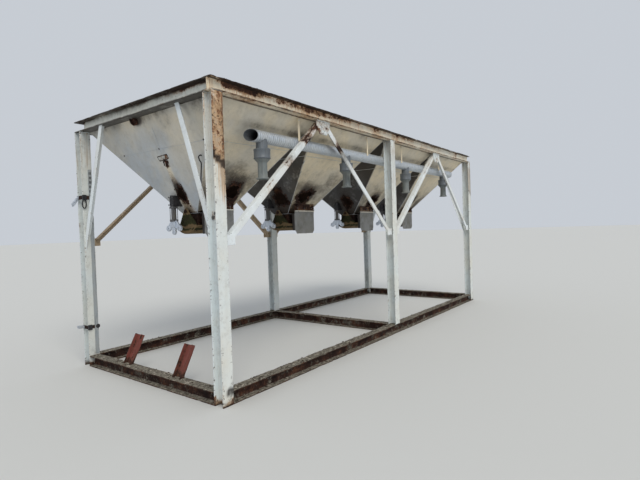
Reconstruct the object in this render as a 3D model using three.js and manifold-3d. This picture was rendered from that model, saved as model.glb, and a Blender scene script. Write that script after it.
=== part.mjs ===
// Aggregate feed bin: four steel hoppers hung in a two-bay frame of rolled H-sections.
// Millimetres, +Z up. The row runs along X, the open front faces -Y, the feet stand on z = 0.
// It is drawn from the front corner at the near end, and the whole group is then moved so
// that the origin lies under the middle of its outline.

import * as THREE from 'three';
import { mergeVertices } from 'three/addons/utils/BufferGeometryUtils.js';
import Module from 'manifold-3d';

const wasm = await Module();
wasm.setup();

// Driving dimensions

const LENGTH = 6390;          // outside of the near posts to outside of the far posts
const WIDTH = 2420;           // outside of the front posts to outside of the back posts
const CLEAR_HEIGHT = 2700;    // ground to the underside of the ring beam
const GAP = 0.3;              // between pieces that lie against each other inside a turned or cut shape

// Rolled H-section of the posts, beams and sills
const SECTION = 120;
const WEB = 7;
const FLANGE = 11;

// Angle section of the braces
const ANGLE = 60;
const ANGLE_WALL = 6;

// Hoppers
const PLATE = 5;              // thickness of the hopper plates
const OUTLET_X = 410;         // outlet along the row
const OUTLET_Y = 250;         // outlet across the row
const OUTLET_Z = 1720;        // height of the outlet's edge

// Sector gates
const PIVOT_Z = 1740;
const GATE_RADIUS = 250;      // outside of the curved shell
const GATE_SHELL = 8;
// The shell runs between these turns from straight down, and reaches further up at the front
const GATE_FRONT = -50 * Math.PI / 180;
const GATE_BACK = 36 * Math.PI / 180;
const GATE_ARM = 8;           // thickness of a side arm
const ARM_OFFSET = 50;        // outlet's side to the inside of an arm
const PIN_RADIUS = 15;
const PIN_PLAY = 0.6;
const LIP_CLEARANCE = 8;      // spout's curved lip to the inside of the shell

// Duct in front of the hoppers
const DUCT_RADIUS = 62.5;
const DUCT_WALL = 2.5;
const DUCT_Z = 2430;
const DUCT_END = 660;         // from each end of the frame to the duct's open end
const MOUTH_SLANT = 80;       // how much longer its near end is at the back, where it is cut aslant

// Clamps left on the near back post
const CLAMP_REACH = 80;       // how far their arms stand out past the near end

const TOP = CLEAR_HEIGHT + SECTION;
const MID_X = LENGTH / 2;
const MID_Y = WIDTH / 2;
const DUCT_Y = SECTION + DUCT_RADIUS + GAP;

// Materials

function steel(color, roughness, metalness) {
  return new THREE.MeshStandardMaterial({ color, roughness, metalness });
}

const paint = {
  post: steel(0xdadcd6, 0.6, 0.0),
  ring: steel(0xd2cdbd, 0.65, 0.0),
  sill: steel(0x5d4d40, 0.9, 0.0),
  hopper: steel(0x9a9a90, 0.6, 0.1),
  brace: steel(0xd7dadb, 0.6, 0.0),
  backBrace: steel(0x9c8a74, 0.75, 0.0),
  rust: steel(0x5a3a26, 0.9, 0.1),
  mossy: steel(0x40402c, 0.95, 0.0),
  apron: steel(0xa9adad, 0.6, 0.1),
  zinc: steel(0xa5acaf, 0.4, 0.8),
  alloy: steel(0xb9c0c6, 0.4, 0.7),
  plastic: steel(0x6e7676, 0.5, 0.0),
  redOxide: steel(0x6e3c37, 0.8, 0.0),
};

// Shape tools

function toSolid(geometry) {
  const bare = geometry.clone();
  bare.deleteAttribute('normal');
  bare.deleteAttribute('uv');
  const merged = mergeVertices(bare, 1e-3);
  return new wasm.Manifold(new wasm.Mesh({
    numProp: 3,
    vertProperties: new Float32Array(merged.attributes.position.array),
    triVerts: new Uint32Array(merged.index.array),
  }));
}

function toGeometry(solid) {
  const mesh = solid.getMesh();
  const indexed = new THREE.BufferGeometry();
  indexed.setAttribute('position', new THREE.BufferAttribute(new Float32Array(mesh.vertProperties), 3));
  indexed.setIndex(new THREE.BufferAttribute(new Uint32Array(mesh.triVerts), 1));
  const flat = indexed.toNonIndexed();
  flat.computeVertexNormals();
  return flat;
}

function join(...geometries) {
  let sum = toSolid(geometries[0]);
  for (const geometry of geometries.slice(1)) {
    sum = sum.add(toSolid(geometry));
  }
  return toGeometry(sum);
}

function cut(geometry, ...tools) {
  let rest = toSolid(geometry);
  for (const tool of tools) {
    rest = rest.subtract(toSolid(tool));
  }
  return toGeometry(rest);
}

// A box from its lowest corner to its highest one.
function block(x0, y0, z0, x1, y1, z1) {
  const geometry = new THREE.BoxGeometry(x1 - x0, y1 - y0, z1 - z0);
  geometry.translate((x0 + x1) / 2, (y0 + y1) / 2, (z0 + z1) / 2);
  return geometry;
}

function shapeOf(points) {
  return new THREE.Shape(points.map(([u, v]) => new THREE.Vector2(u, v)));
}

// An outline drawn in X and Z, made thick along Y from y0 to y1.
function prismY(points, y0, y1, holes = []) {
  const shape = shapeOf(points);
  for (const hole of holes) {
    shape.holes.push(shapeOf(hole));
  }
  const geometry = new THREE.ExtrudeGeometry(shape, { depth: y1 - y0, bevelEnabled: false });
  geometry.rotateX(Math.PI / 2);
  geometry.translate(0, y1, 0);
  return geometry;
}

// An outline drawn in Y and Z, made thick along X from x0 to x1.
function prismX(points, x0, x1, holes = []) {
  const shape = shapeOf(points);
  for (const hole of holes) {
    shape.holes.push(shapeOf(hole));
  }
  const geometry = new THREE.ExtrudeGeometry(shape, { depth: x1 - x0, bevelEnabled: false });
  geometry.rotateX(Math.PI / 2);
  geometry.rotateZ(Math.PI / 2);
  geometry.translate(x0, 0, 0);
  return geometry;
}

// A round bar along X, Y or Z with its middle at a point.
function rod(axis, radius, length, x, y, z, sides = 24) {
  const geometry = new THREE.CylinderGeometry(radius, radius, length, sides);
  if (axis === 'x') geometry.rotateZ(Math.PI / 2);
  if (axis === 'z') geometry.rotateX(Math.PI / 2);
  geometry.translate(x, y, z);
  return geometry;
}

// Corner points of an H-section, flanges across the first direction.
function hOutline() {
  const s = SECTION / 2;
  const w = WEB / 2;
  const f = s - FLANGE;
  return [
    [-s, -s], [s, -s], [s, -f], [w, -f], [w, f], [s, f],
    [s, s], [-s, s], [-s, f], [-w, f], [-w, -f], [-s, -f],
  ];
}

const group = new THREE.Group();

function add(name, geometry, material) {
  const mesh = new THREE.Mesh(geometry, material);
  mesh.name = name;
  group.add(mesh);
  return mesh;
}

// Frame

const POST_X = { near: SECTION / 2, mid: MID_X, far: LENGTH - SECTION / 2 };
const SIDE_Y = { front: SECTION / 2, back: WIDTH - SECTION / 2 };

// A post's flanges face front and back, its web runs front to back.
// The end posts stand on the ground, the middle ones on the long sills.
function post(x, y, foot) {
  const geometry = new THREE.ExtrudeGeometry(shapeOf(hOutline()), {
    depth: CLEAR_HEIGHT - foot, bevelEnabled: false,
  });
  geometry.translate(x, y, foot);
  return geometry;
}

for (const [side, y] of Object.entries(SIDE_Y)) {
  for (const [place, x] of Object.entries(POST_X)) {
    add(`post_${side}_${place}`, post(x, y, place === 'mid' ? SECTION : 0), paint.post);
  }
}

// A beam lying along X or Y with its flanges above and below.
function beamX(x0, x1, y, z) {
  const geometry = prismX(hOutline(), x0, x1);
  geometry.translate(0, y, z);
  return geometry;
}

function beamY(y0, y1, x, z) {
  const geometry = prismY(hOutline(), y0, y1);
  geometry.translate(x, 0, z);
  return geometry;
}

const RING_Z = CLEAR_HEIGHT + SECTION / 2;
const INNER_FRONT = SECTION;
const INNER_BACK = WIDTH - SECTION;

// The end beams keep their flanges over the back posts, but their webs stop at the back beam.
function endBeam(x) {
  const whole = beamY(INNER_FRONT, WIDTH, x, RING_Z);
  const reach = SECTION / 2 - FLANGE;
  const cope = block(x - SECTION, INNER_BACK, RING_Z - reach, x + SECTION, WIDTH + 1, RING_Z + reach);
  return cut(whole, cope);
}

add('ring_beam_near', endBeam(POST_X.near), paint.ring);
add('ring_beam_far', endBeam(POST_X.far), paint.ring);
add('cross_beam_mid', beamY(INNER_FRONT, INNER_BACK, MID_X, RING_Z), paint.ring);

for (const [place, x] of Object.entries(POST_X)) {
  add(`sill_${place}`, beamY(INNER_FRONT, INNER_BACK, x, SECTION / 2), paint.sill);
}

for (const [side, y] of Object.entries(SIDE_Y)) {
  add(`sill_${side}`, beamX(SECTION, LENGTH - SECTION, y, SECTION / 2), paint.sill);
}

// Braces

const PEAK_X = [LENGTH / 4, 3 * LENGTH / 4];
const BAY = [
  { name: 'near', peak: PEAK_X[0], from: POST_X.near, to: POST_X.mid },
  { name: 'far', peak: PEAK_X[1], from: POST_X.mid, to: POST_X.far },
];

const GUSSET_WIDTH = 250;
const GUSSET_HEIGHT = 150;
const GUSSET_THICK = 8;
const GUSSET_EDGE = 60;       // its corners are cut off this much
const BRACE_PEAK = 60;        // a brace's axis to the bay's middle, at its top
const BRACE_TOP_Z = CLEAR_HEIGHT - 40;
const BRACE_FOOT_X = 126;     // a brace's axis to the post's middle, at its foot
const BRACE_FOOT_Z = 1445;
const LUG_LENGTH = 165;
const LUG_HEIGHT = 90;
const LUG_Z = 1428;

// A bar of angle section from one point to another in X and Z. Its broad leg lies on the side
// of low Y (face -1) or high Y (face 1), the other leg stands on the edge before the bar's
// middle (edge -1) or behind it (edge 1).
function slantedAngle(a, b, y0, face, edge) {
  const dx = b[0] - a[0];
  const dz = b[1] - a[1];
  const length = Math.hypot(dx, dz);
  const half = ANGLE / 2;
  const inner = half - ANGLE_WALL;
  const shape = shapeOf([
    [edge * half, face * half], [-edge * half, face * half], [-edge * half, face * inner],
    [edge * inner, face * inner], [edge * inner, -face * half], [edge * half, -face * half],
  ]);
  const geometry = new THREE.ExtrudeGeometry(shape, { depth: length, bevelEnabled: false });
  geometry.rotateY(Math.atan2(dx, dz));
  geometry.translate(a[0], y0 + half, a[1]);
  return geometry;
}

// Lug that ties a brace's foot to a post: it runs from the post's web out along the brace.
function footLug(postX, toward, y0, thickness) {
  const start = postX + toward * (WEB / 2);
  const end = postX + toward * (WEB / 2 + LUG_LENGTH);
  return block(Math.min(start, end), y0, LUG_Z - LUG_HEIGHT / 2,
    Math.max(start, end), y0 + thickness, LUG_Z + LUG_HEIGHT / 2);
}

const FRONT_BAR_Y = 34;
const BACK_BAR_Y = WIDTH - FRONT_BAR_Y - ANGLE;

function brace(peakX, postX, side) {
  const toward = Math.sign(peakX - postX);
  const foot = [postX + toward * BRACE_FOOT_X, BRACE_FOOT_Z];
  const top = [peakX - toward * BRACE_PEAK, BRACE_TOP_Z];
  if (side === 'front') {
    const lug = footLug(postX, toward, FRONT_BAR_Y - GUSSET_THICK, GUSSET_THICK + 1);
    return join(slantedAngle(foot, top, FRONT_BAR_Y, -1, -toward), lug);
  }
  const lug = footLug(postX, toward, BACK_BAR_Y + ANGLE - 1, GUSSET_THICK + 1);
  return join(slantedAngle(foot, top, BACK_BAR_Y, toward, -1), lug);
}

for (const side of ['front', 'back']) {
  for (const bay of BAY) {
    const material = side === 'front' ? paint.brace : paint.backBrace;
    add(`brace_${side}_${bay.name}_1`, brace(bay.peak, bay.from, side), material);
    add(`brace_${side}_${bay.name}_2`, brace(bay.peak, bay.to, side), material);
  }
}

// A long ring beam with the gussets welded under it, one at the middle of each bay.
function gusset(peakX, y0) {
  const half = GUSSET_WIDTH / 2;
  const low = CLEAR_HEIGHT - GUSSET_HEIGHT;
  const root = CLEAR_HEIGHT + FLANGE / 2;
  return prismY([
    [peakX - half, CLEAR_HEIGHT - GUSSET_EDGE], [peakX - half + GUSSET_EDGE, low],
    [peakX + half - GUSSET_EDGE, low], [peakX + half, CLEAR_HEIGHT - GUSSET_EDGE],
    [peakX + half, root], [peakX - half, root],
  ], y0, y0 + GUSSET_THICK);
}

function longBeam(x0, x1, side) {
  const front = side === 'front';
  const plateY = front ? FRONT_BAR_Y - GUSSET_THICK - GAP : BACK_BAR_Y + ANGLE + GAP;
  return join(beamX(x0, x1, SIDE_Y[side], RING_Z), ...BAY.map((bay) => gusset(bay.peak, plateY)));
}

add('ring_beam_front', longBeam(0, LENGTH, 'front'), paint.ring);
add('ring_beam_back', longBeam(SECTION, LENGTH - SECTION, 'back'), paint.ring);

// Knee braces in the end frames, from the end beam's flange down to the posts' inner flanges.
const KNEE_TOP = 440;         // knee's axis to the post's inner face, at the beam
const KNEE_DROP = 1266;       // beam's underside to where the axis meets the post
// Outer face of the frame to the knee's broad leg
const KNEE_IN = { front: 57, back: 16 };

// Each knee is an angle: its broad leg faces out of the end frame, and the other leg stands on
// the edge toward the back.
function knee(x0, outward, mirrored) {
  const lean = Math.atan2(KNEE_TOP, KNEE_DROP);
  const half = ANGLE / 2 / Math.cos(lean);
  const wall = ANGLE_WALL / Math.cos(lean);
  const foot = CLEAR_HEIGHT - KNEE_DROP;
  const head = INNER_FRONT + KNEE_TOP;
  // The part of the bar between two lines beside its axis, cut level at the beam and upright at the post
  const strip = (from, to) => {
    const points = [
      [INNER_FRONT, foot - to / Math.tan(lean)], [head + to, CLEAR_HEIGHT],
      [head + from, CLEAR_HEIGHT], [INNER_FRONT, foot - from / Math.tan(lean)],
    ];
    return mirrored ? points.map(([u, v]) => [WIDTH - u, v]).reverse() : points;
  };
  const face = outward < 0 ? x0 : x0 + ANGLE - ANGLE_WALL;
  const broad = prismX(strip(-half, half), face, face + ANGLE_WALL);
  const standing = mirrored ? strip(-half, wall - half) : strip(half - wall, half);
  return join(broad, prismX(standing, x0, x0 + ANGLE));
}

for (const side of ['front', 'back']) {
  const inward = KNEE_IN[side];
  add(`knee_brace_near_${side}`, knee(inward, -1, side === 'back'), paint.brace);
  add(`knee_brace_far_${side}`, knee(LENGTH - inward - ANGLE, 1, side === 'back'), paint.brace);
}

// Hoppers

// A closed block with a rectangle at each of its levels: each level is [x0, x1, y0, y1, z].
function stacked(levels) {
  const corners = [];
  for (const [x0, x1, y0, y1, z] of levels) {
    corners.push([x0, y0, z], [x1, y0, z], [x1, y1, z], [x0, y1, z]);
  }
  const index = [0, 2, 1, 0, 3, 2];
  for (let i = 0; i + 1 < levels.length; i += 1) {
    const low = 4 * i;
    const high = low + 4;
    for (let k = 0; k < 4; k += 1) {
      const n = (k + 1) % 4;
      index.push(low + k, low + n, high + n, low + k, high + n, high + k);
    }
  }
  const last = 4 * (levels.length - 1);
  index.push(last, last + 1, last + 2, last, last + 2, last + 3);
  const geometry = new THREE.BufferGeometry();
  geometry.setAttribute('position', new THREE.Float32BufferAttribute(corners.flat(), 3));
  geometry.setIndex(index);
  return geometry;
}

// A torn outline round a middle: the radii wander in and out by a fixed rule.
function tornOutline(u, v, halfWidth, halfHeight, phase) {
  const points = [];
  const steps = 14;
  for (let i = 0; i < steps; i += 1) {
    const turn = 2 * Math.PI * i / steps;
    const wander = 1 + 0.16 * Math.sin(3 * turn + phase) + 0.1 * Math.sin(7 * turn + 2 * phase);
    points.push([u + halfWidth * wander * Math.cos(turn), v + halfHeight * wander * Math.sin(turn)]);
  }
  return points;
}

const HOPPERS = [
  { x0: SECTION, x1: PEAK_X[0] },
  { x0: PEAK_X[0], x1: MID_X - SECTION / 2 },
  { x0: MID_X + SECTION / 2, x1: PEAK_X[1] },
  { x0: PEAK_X[1], x1: LENGTH - SECTION },
];

const TOP_HALF_Y = MID_Y - INNER_FRONT;
const CONE_HEIGHT = CLEAR_HEIGHT - OUTLET_Z;

// Where the outside of a hopper's end plate lies at a height, from the hopper's middle.
function endPlateReach(topHalf, z) {
  return OUTLET_X / 2 + (topHalf - OUTLET_X / 2) * (z - OUTLET_Z) / CONE_HEIGHT;
}

const PIN_END = OUTLET_X / 2 + ARM_OFFSET + GATE_ARM + 12;
const PIN_COLLAR = 6;         // thickness of the collar that keeps the gate's arm on
const COLLAR_EDGE = 8;        // how far the collar stands out past the pin

// Rust holes, as [across, height, half width, half height], measured from the hopper's middle:
// one low in each near plate, one low in each front plate, and a small one in the first near plate
const NEAR_HOLES = [
  [-15, 1905, 62, 92], [-110, 1930, 100, 104], [-75, 1915, 80, 92], [-50, 1905, 68, 84],
];
const FRONT_HOLES = [
  [95, 1940, 112, 68], [-110, 1942, 115, 70], [40, 1938, 96, 64], [-60, 1940, 90, 66],
];
const SMALL_HOLE = [-5, 2240, 30, 30];

function hopper({ x0, x1 }, number) {
  const middle = (x0 + x1) / 2;
  const topHalf = (x1 - x0) / 2;
  const rectangle = (shrink, halfX, halfY, z) => [
    middle - halfX + shrink, middle + halfX - shrink, MID_Y - halfY + shrink, MID_Y + halfY - shrink, z,
  ];
  const outside = stacked([
    rectangle(0, OUTLET_X / 2, OUTLET_Y / 2, OUTLET_Z),
    rectangle(0, topHalf, TOP_HALF_Y, CLEAR_HEIGHT),
    rectangle(0, topHalf, TOP_HALF_Y, TOP),
  ]);
  // The sloping plates' thickness is measured level here, a little more than square to the plate.
  const inside = stacked([
    rectangle(2 * PLATE, OUTLET_X / 2, OUTLET_Y / 2, OUTLET_Z - PLATE),
    rectangle(PLATE, OUTLET_X / 2, OUTLET_Y / 2, OUTLET_Z),
    rectangle(PLATE, topHalf, TOP_HALF_Y, CLEAR_HEIGHT),
    rectangle(PLATE, topHalf, TOP_HALF_Y, TOP + PLATE),
  ]);
  let solid = toSolid(outside).subtract(toSolid(inside));
  // Stub pins for the gate, welded into the end plates, each with a collar at its end.
  const face = endPlateReach(topHalf, PIVOT_Z) - PLATE;
  for (const way of [-1, 1]) {
    const length = PIN_END - face;
    const pin = rod('x', PIN_RADIUS, length, middle + way * (face + length / 2), MID_Y, PIVOT_Z);
    const collar = rod('x', PIN_RADIUS + COLLAR_EDGE, PIN_COLLAR,
      middle + way * (PIN_END - PIN_COLLAR / 2), MID_Y, PIVOT_Z);
    solid = solid.add(toSolid(pin)).add(toSolid(collar));
  }
  const phase = number * 1.7;
  const nearHole = ([across, height, halfWidth, halfHeight], turn) => toSolid(
    prismX(tornOutline(MID_Y + across, height, halfWidth, halfHeight, turn), x0, middle - OUTLET_X / 4),
  );
  const [across, height, halfWidth, halfHeight] = FRONT_HOLES[number - 1];
  const frontHole = toSolid(prismY(
    tornOutline(middle + across, height, halfWidth, halfHeight, phase + 2),
    0, MID_Y - OUTLET_Y / 4,
  ));
  solid = solid.subtract(nearHole(NEAR_HOLES[number - 1], phase)).subtract(frontHole);
  if (number === 1) {
    solid = solid.subtract(nearHole(SMALL_HOLE, phase + 1));
  }
  return toGeometry(solid);
}

// The spout under the outlet: a square sleeve whose end plates are cut round under the pivot.
const SPOUT_PLATE = 8;

function arcPoints(radius, from, to, steps) {
  const points = [];
  for (let i = 0; i <= steps; i += 1) {
    const turn = from + (to - from) * i / steps;
    points.push([MID_Y + radius * Math.sin(turn), PIVOT_Z - radius * Math.cos(turn)]);
  }
  return points;
}

function spout({ x0, x1 }) {
  const middle = (x0 + x1) / 2;
  const halfX = OUTLET_X / 2;
  const halfY = OUTLET_Y / 2;
  const lip = GATE_RADIUS - GATE_SHELL - LIP_CLEARANCE;
  const edge = Math.asin(halfY / lip);
  const profile = [
    ...arcPoints(lip, -edge, edge, 10),
    [MID_Y + halfY, OUTLET_Z], [MID_Y - halfY, OUTLET_Z],
  ];
  const body = prismX(profile, middle - halfX, middle + halfX);
  const bore = block(middle - halfX + SPOUT_PLATE, MID_Y - halfY + SPOUT_PLATE, PIVOT_Z - GATE_RADIUS,
    middle + halfX - SPOUT_PLATE, MID_Y + halfY - SPOUT_PLATE, OUTLET_Z + 10);
  return cut(body, bore);
}

const HUB_RADIUS = 36;
const HUB_FROM = 1.9;         // the hub's round runs between these turns from straight down, in radians
const HUB_TO = 4.38;
const BORE_SIDES = 24;

// A sector gate: a curved shell under the spout, carried by an arm on each pin.
function gate({ x0, x1 }) {
  const middle = (x0 + x1) / 2;
  const armIn = OUTLET_X / 2 + ARM_OFFSET;
  const armOut = armIn + GATE_ARM;
  const shell = prismX([
    ...arcPoints(GATE_RADIUS, GATE_FRONT, GATE_BACK, 14),
    ...arcPoints(GATE_RADIUS - GATE_SHELL, GATE_BACK, GATE_FRONT, 14),
  ], middle - armOut, middle + armOut);
  const armOutline = [
    ...arcPoints(GATE_RADIUS, GATE_FRONT, GATE_BACK, 14),
    ...arcPoints(HUB_RADIUS, HUB_FROM, HUB_TO, 8),
  ];
  const bore = [];
  for (let i = 0; i < BORE_SIDES; i += 1) {
    const turn = -2 * Math.PI * i / BORE_SIDES;
    bore.push([MID_Y + (PIN_RADIUS + PIN_PLAY) * Math.cos(turn),
      PIVOT_Z + (PIN_RADIUS + PIN_PLAY) * Math.sin(turn)]);
  }
  const left = prismX(armOutline, middle - armOut, middle - armIn, [bore]);
  const right = prismX(armOutline, middle + armIn, middle + armOut, [bore]);
  return join(shell, left, right);
}

// The front apron: a plate hung upright from the hopper's front plate, with its ends folded back.
const APRON_HALF = 208;       // half its length along the row
const APRON_Y = 250;          // hopper's middle to the plate's inner side
const APRON_LOW = 1440;
const APRON_FOLD = 45;        // depth of the folded ends
const APRON_FOLD_TOP = 1715;

function apron({ x0, x1 }) {
  const middle = (x0 + x1) / 2;
  const slope = CONE_HEIGHT / (TOP_HALF_Y - OUTLET_Y / 2);
  const seat = (reach) => OUTLET_Z + (reach - OUTLET_Y / 2) * slope - 2 * GAP;
  const inner = MID_Y - APRON_Y;
  const outer = inner - PLATE;
  const plate = prismX([
    [outer, APRON_LOW], [inner, APRON_LOW], [inner, seat(APRON_Y)], [outer, seat(APRON_Y + PLATE)],
  ], middle - APRON_HALF, middle + APRON_HALF);
  const fold = (x) => block(x, inner - 1, APRON_LOW, x + PLATE, inner + APRON_FOLD, APRON_FOLD_TOP);
  return join(plate, fold(middle - APRON_HALF), fold(middle + APRON_HALF - PLATE));
}

// The air cylinder that worked the gate hangs from a bracket on the near plate, its rod end loose.
const CYLINDER_RADIUS = 27;
const CYLINDER_Y = MID_Y + 115;
const BARREL_LENGTH = 210;
const BARREL_LOW = 1610;
const BRACKET_LOW = 1800;
const BRACKET_HIGH = 1915;
const BRACKET_HALF = 45;      // half its width
const BRACKET_DEPTH = 60;     // at its upper edge
const BARREL_BACK = 34;       // from the bracket's free side to the barrel's axis
const HEAD_LOW = 1560;
const HEAD_HIGH = 1635;
const HEAD_HALF_X = 18;
const HEAD_HALF_Y = 40;
const LOBE_HALF = 14;         // half the thickness of the head's three lobes
// Outlines of the lobes, as [across from the axis, height]
const SIDE_LOBE = [[30, 1572], [66, 1534], [102, 1537], [113, 1572], [38, 1630]];
const LOWER_LOBE = [[-24, 1575], [-22, 1496], [0, 1485], [22, 1496], [24, 1575]];

function cylinder({ x0, x1 }) {
  const middle = (x0 + x1) / 2;
  const topHalf = (x1 - x0) / 2;
  const face = (z) => middle - endPlateReach(topHalf, z) - GAP;
  const back = face(BRACKET_HIGH) - BRACKET_DEPTH;
  const axisX = back + BARREL_BACK;
  const bracket = prismY([
    [back, BRACKET_LOW], [face(BRACKET_LOW), BRACKET_LOW], [face(BRACKET_HIGH), BRACKET_HIGH],
    [back, BRACKET_HIGH],
  ], CYLINDER_Y - BRACKET_HALF, CYLINDER_Y + BRACKET_HALF);
  const barrel = rod('z', CYLINDER_RADIUS, BARREL_LENGTH,
    axisX, CYLINDER_Y, BARREL_LOW + BARREL_LENGTH / 2, 20);
  const head = block(axisX - HEAD_HALF_X, CYLINDER_Y - HEAD_HALF_Y, HEAD_LOW,
    axisX + HEAD_HALF_X, CYLINDER_Y + HEAD_HALF_Y, HEAD_HIGH);
  const lobe = (outline) => prismX(outline.map(([across, z]) => [CYLINDER_Y + across, z]),
    axisX - LOBE_HALF, axisX + LOBE_HALF);
  const mirrored = SIDE_LOBE.map(([across, z]) => [-across, z]).reverse();
  return join(bracket, barrel, head, lobe(SIDE_LOBE), lobe(mirrored), lobe(LOWER_LOBE));
}

HOPPERS.forEach((place, i) => {
  const number = i + 1;
  add(`hopper_${number}`, hopper(place, number), paint.hopper);
  add(`spout_${number}`, spout(place), paint.rust);
  add(`gate_${number}`, gate(place), paint.mossy);
  add(`air_cylinder_${number}`, cylinder(place), paint.alloy);
  add(`apron_${number}`, apron(place), paint.apron);
});

// Caps over the double plates between two hoppers of a bay.
const CAP_HALF = 40;
const CAP_THICK = 6;
BAY.forEach((bay) => {
  const from = bay.peak - CAP_HALF;
  const cap = block(from, INNER_FRONT, TOP, from + 2 * CAP_HALF, INNER_BACK, TOP + CAP_THICK);
  add(`partition_cap_${bay.name}`, cap, paint.ring);
});

// Duct with a drop at each hopper

function ring(radius, wall, length, x) {
  const outer = rod('x', radius, length, x, DUCT_Y, DUCT_Z, 32);
  const inner = rod('x', radius - wall, length + 10, x, DUCT_Y, DUCT_Z, 32);
  return cut(outer, inner);
}

const DROP_OFFSET = -92;      // from a hopper's middle to its drop, along the row
const COLLAR_RADIUS = 86;
const COLLAR_LOW = 2210;
const COLLAR_HIGH = 2310;
const NECK_RADIUS = 50;
const NECK_LOW = 2010;
const FOOT_RADIUS = 65;
const FOOT_HIGH = 2026;

const SADDLE_RADIUS = 58;
const NECK_WALL = 5;

// A drop's collar hugs the duct from below, its neck hangs open, with a flange at the foot.
function drop(x) {
  const upright = (radius, low, high) => toSolid(
    rod('z', radius, high - low, x, DUCT_Y, (high + low) / 2),
  );
  const shape = upright(SADDLE_RADIUS, COLLAR_HIGH - 1, DUCT_Z - DUCT_RADIUS / 2)
    .add(upright(COLLAR_RADIUS, COLLAR_LOW, COLLAR_HIGH))
    .add(upright(NECK_RADIUS, NECK_LOW, COLLAR_LOW + 1))
    .add(upright(FOOT_RADIUS, NECK_LOW, FOOT_HIGH));
  const bore = upright(NECK_RADIUS - NECK_WALL, NECK_LOW - 10, DUCT_Z);
  const seat = toSolid(rod('x', DUCT_RADIUS + GAP, 4 * COLLAR_RADIUS, x, DUCT_Y, DUCT_Z, 32));
  return toGeometry(shape.subtract(bore).subtract(seat));
}

HOPPERS.forEach(({ x0, x1 }, i) => {
  add(`duct_drop_${i + 1}`, drop((x0 + x1) / 2 + DROP_OFFSET), paint.plastic);
});

// Strap hangers, riveted to the duct: each is a half band over it with a tail up to the front
// beam's flange.
const STRAP = 4;
const STRAP_WIDTH = 30;
const HANGER_X = [1280, 2700, 3690, 5110];

function hanger(x) {
  const front = DUCT_Y - DUCT_RADIUS - STRAP;
  const band = cut(
    rod('x', DUCT_RADIUS + STRAP, STRAP_WIDTH, x, DUCT_Y, DUCT_Z, 32),
    rod('x', DUCT_RADIUS - DUCT_WALL / 2, STRAP_WIDTH + 10, x, DUCT_Y, DUCT_Z, 32),
    block(x - STRAP_WIDTH, front - STRAP, DUCT_Z - 2 * DUCT_RADIUS,
      x + STRAP_WIDTH, DUCT_Y + 2 * DUCT_RADIUS, DUCT_Z),
  );
  const tail = block(x - STRAP_WIDTH / 2, front, DUCT_Z, x + STRAP_WIDTH / 2, SECTION, CLEAR_HEIGHT);
  return join(band, tail);
}

// The near mouth is cut aslant: this takes off what lies before a plane leaning along Y.
function mouthCut() {
  const reach = DUCT_RADIUS + 20;
  const lean = MOUTH_SLANT / 2 * reach / DUCT_RADIUS;
  const edge = DUCT_END - MOUTH_SLANT / 2;
  const geometry = new THREE.ExtrudeGeometry(shapeOf([
    [edge - 2 * MOUTH_SLANT, DUCT_Y - reach], [edge + lean, DUCT_Y - reach],
    [edge - lean, DUCT_Y + reach], [edge - 2 * MOUTH_SLANT, DUCT_Y + reach],
  ]), { depth: 2 * reach, bevelEnabled: false });
  geometry.translate(0, 0, DUCT_Z - reach);
  return geometry;
}

const ductLength = LENGTH - 2 * DUCT_END + MOUTH_SLANT;
const ductPipe = cut(ring(DUCT_RADIUS, DUCT_WALL, ductLength, MID_X - MOUTH_SLANT / 2), mouthCut());
add('duct', join(ductPipe, ...HANGER_X.map(hanger)), paint.zinc);

// Clamps left on the near back post, each a band round the post with an arm toward the near end.
const BAND = 6;
const ARM_FROM = WIDTH - 45;
const ARM_TO = ARM_FROM + 30;

// The arm's end lies lower than the band by this drop, and is thinner than its root.
function postClamp(z, height, drop) {
  const y0 = WIDTH - SECTION - GAP;
  const x1 = SECTION + GAP;
  const outer = block(-GAP - BAND, y0 - BAND, z, x1 + BAND, WIDTH, z + height);
  const inner = block(-GAP, y0, z - 1, x1, WIDTH + 1, z + height + 1);
  const arm = prismY([
    [-CLAMP_REACH, z + height - drop], [-CLAMP_REACH + 8, z - drop - BAND], [-BAND, z],
    [-BAND, z + height],
  ], ARM_FROM, ARM_TO);
  return join(cut(outer, inner), arm);
}

add('post_clamp_upper', postClamp(1925, 44, 85), paint.rust);
add('post_clamp_lower', postClamp(432, 38, -6), paint.rust);

// Two red-oxide stubs of channel lean inward from the near sill.
const STUB_WIDTH = 120;
const STUB_DEPTH = 46;
const STUB_WALL = 6;
const STUB_LENGTH = 385;
const STUB_LEAN = 28 * Math.PI / 180;
const STUB_FOOT_X = 72;
const STUB_SUNK = 60;         // drawn this much below the sill's top, then cut off level with it

function stub(y) {
  const half = STUB_WIDTH / 2;
  const channel = new THREE.ExtrudeGeometry(shapeOf([
    [0, -half], [STUB_DEPTH, -half], [STUB_DEPTH, half], [0, half], [0, half - STUB_WALL],
    [STUB_DEPTH - STUB_WALL, half - STUB_WALL], [STUB_DEPTH - STUB_WALL, -half + STUB_WALL],
    [0, -half + STUB_WALL],
  ]), { depth: STUB_LENGTH, bevelEnabled: false });
  channel.translate(-STUB_DEPTH / 2, 0, -STUB_SUNK);
  channel.rotateY(STUB_LEAN);
  channel.translate(STUB_FOOT_X, y, SECTION + GAP);
  const below = block(STUB_FOOT_X - STUB_LENGTH, y - STUB_WIDTH, 0,
    STUB_FOOT_X + STUB_LENGTH, y + STUB_WIDTH, SECTION + GAP);
  return cut(channel, below);
}

add('stub_front', stub(730), paint.redOxide);
add('stub_back', stub(1605), paint.redOxide);

// Origin under the middle of the outline, clamp arms included.
group.position.set(-(LENGTH - CLAMP_REACH) / 2, -MID_Y, 0);

export default group;
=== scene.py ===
import math

import bmesh
import bpy
import numpy as np
from mathutils import Matrix, Vector


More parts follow.
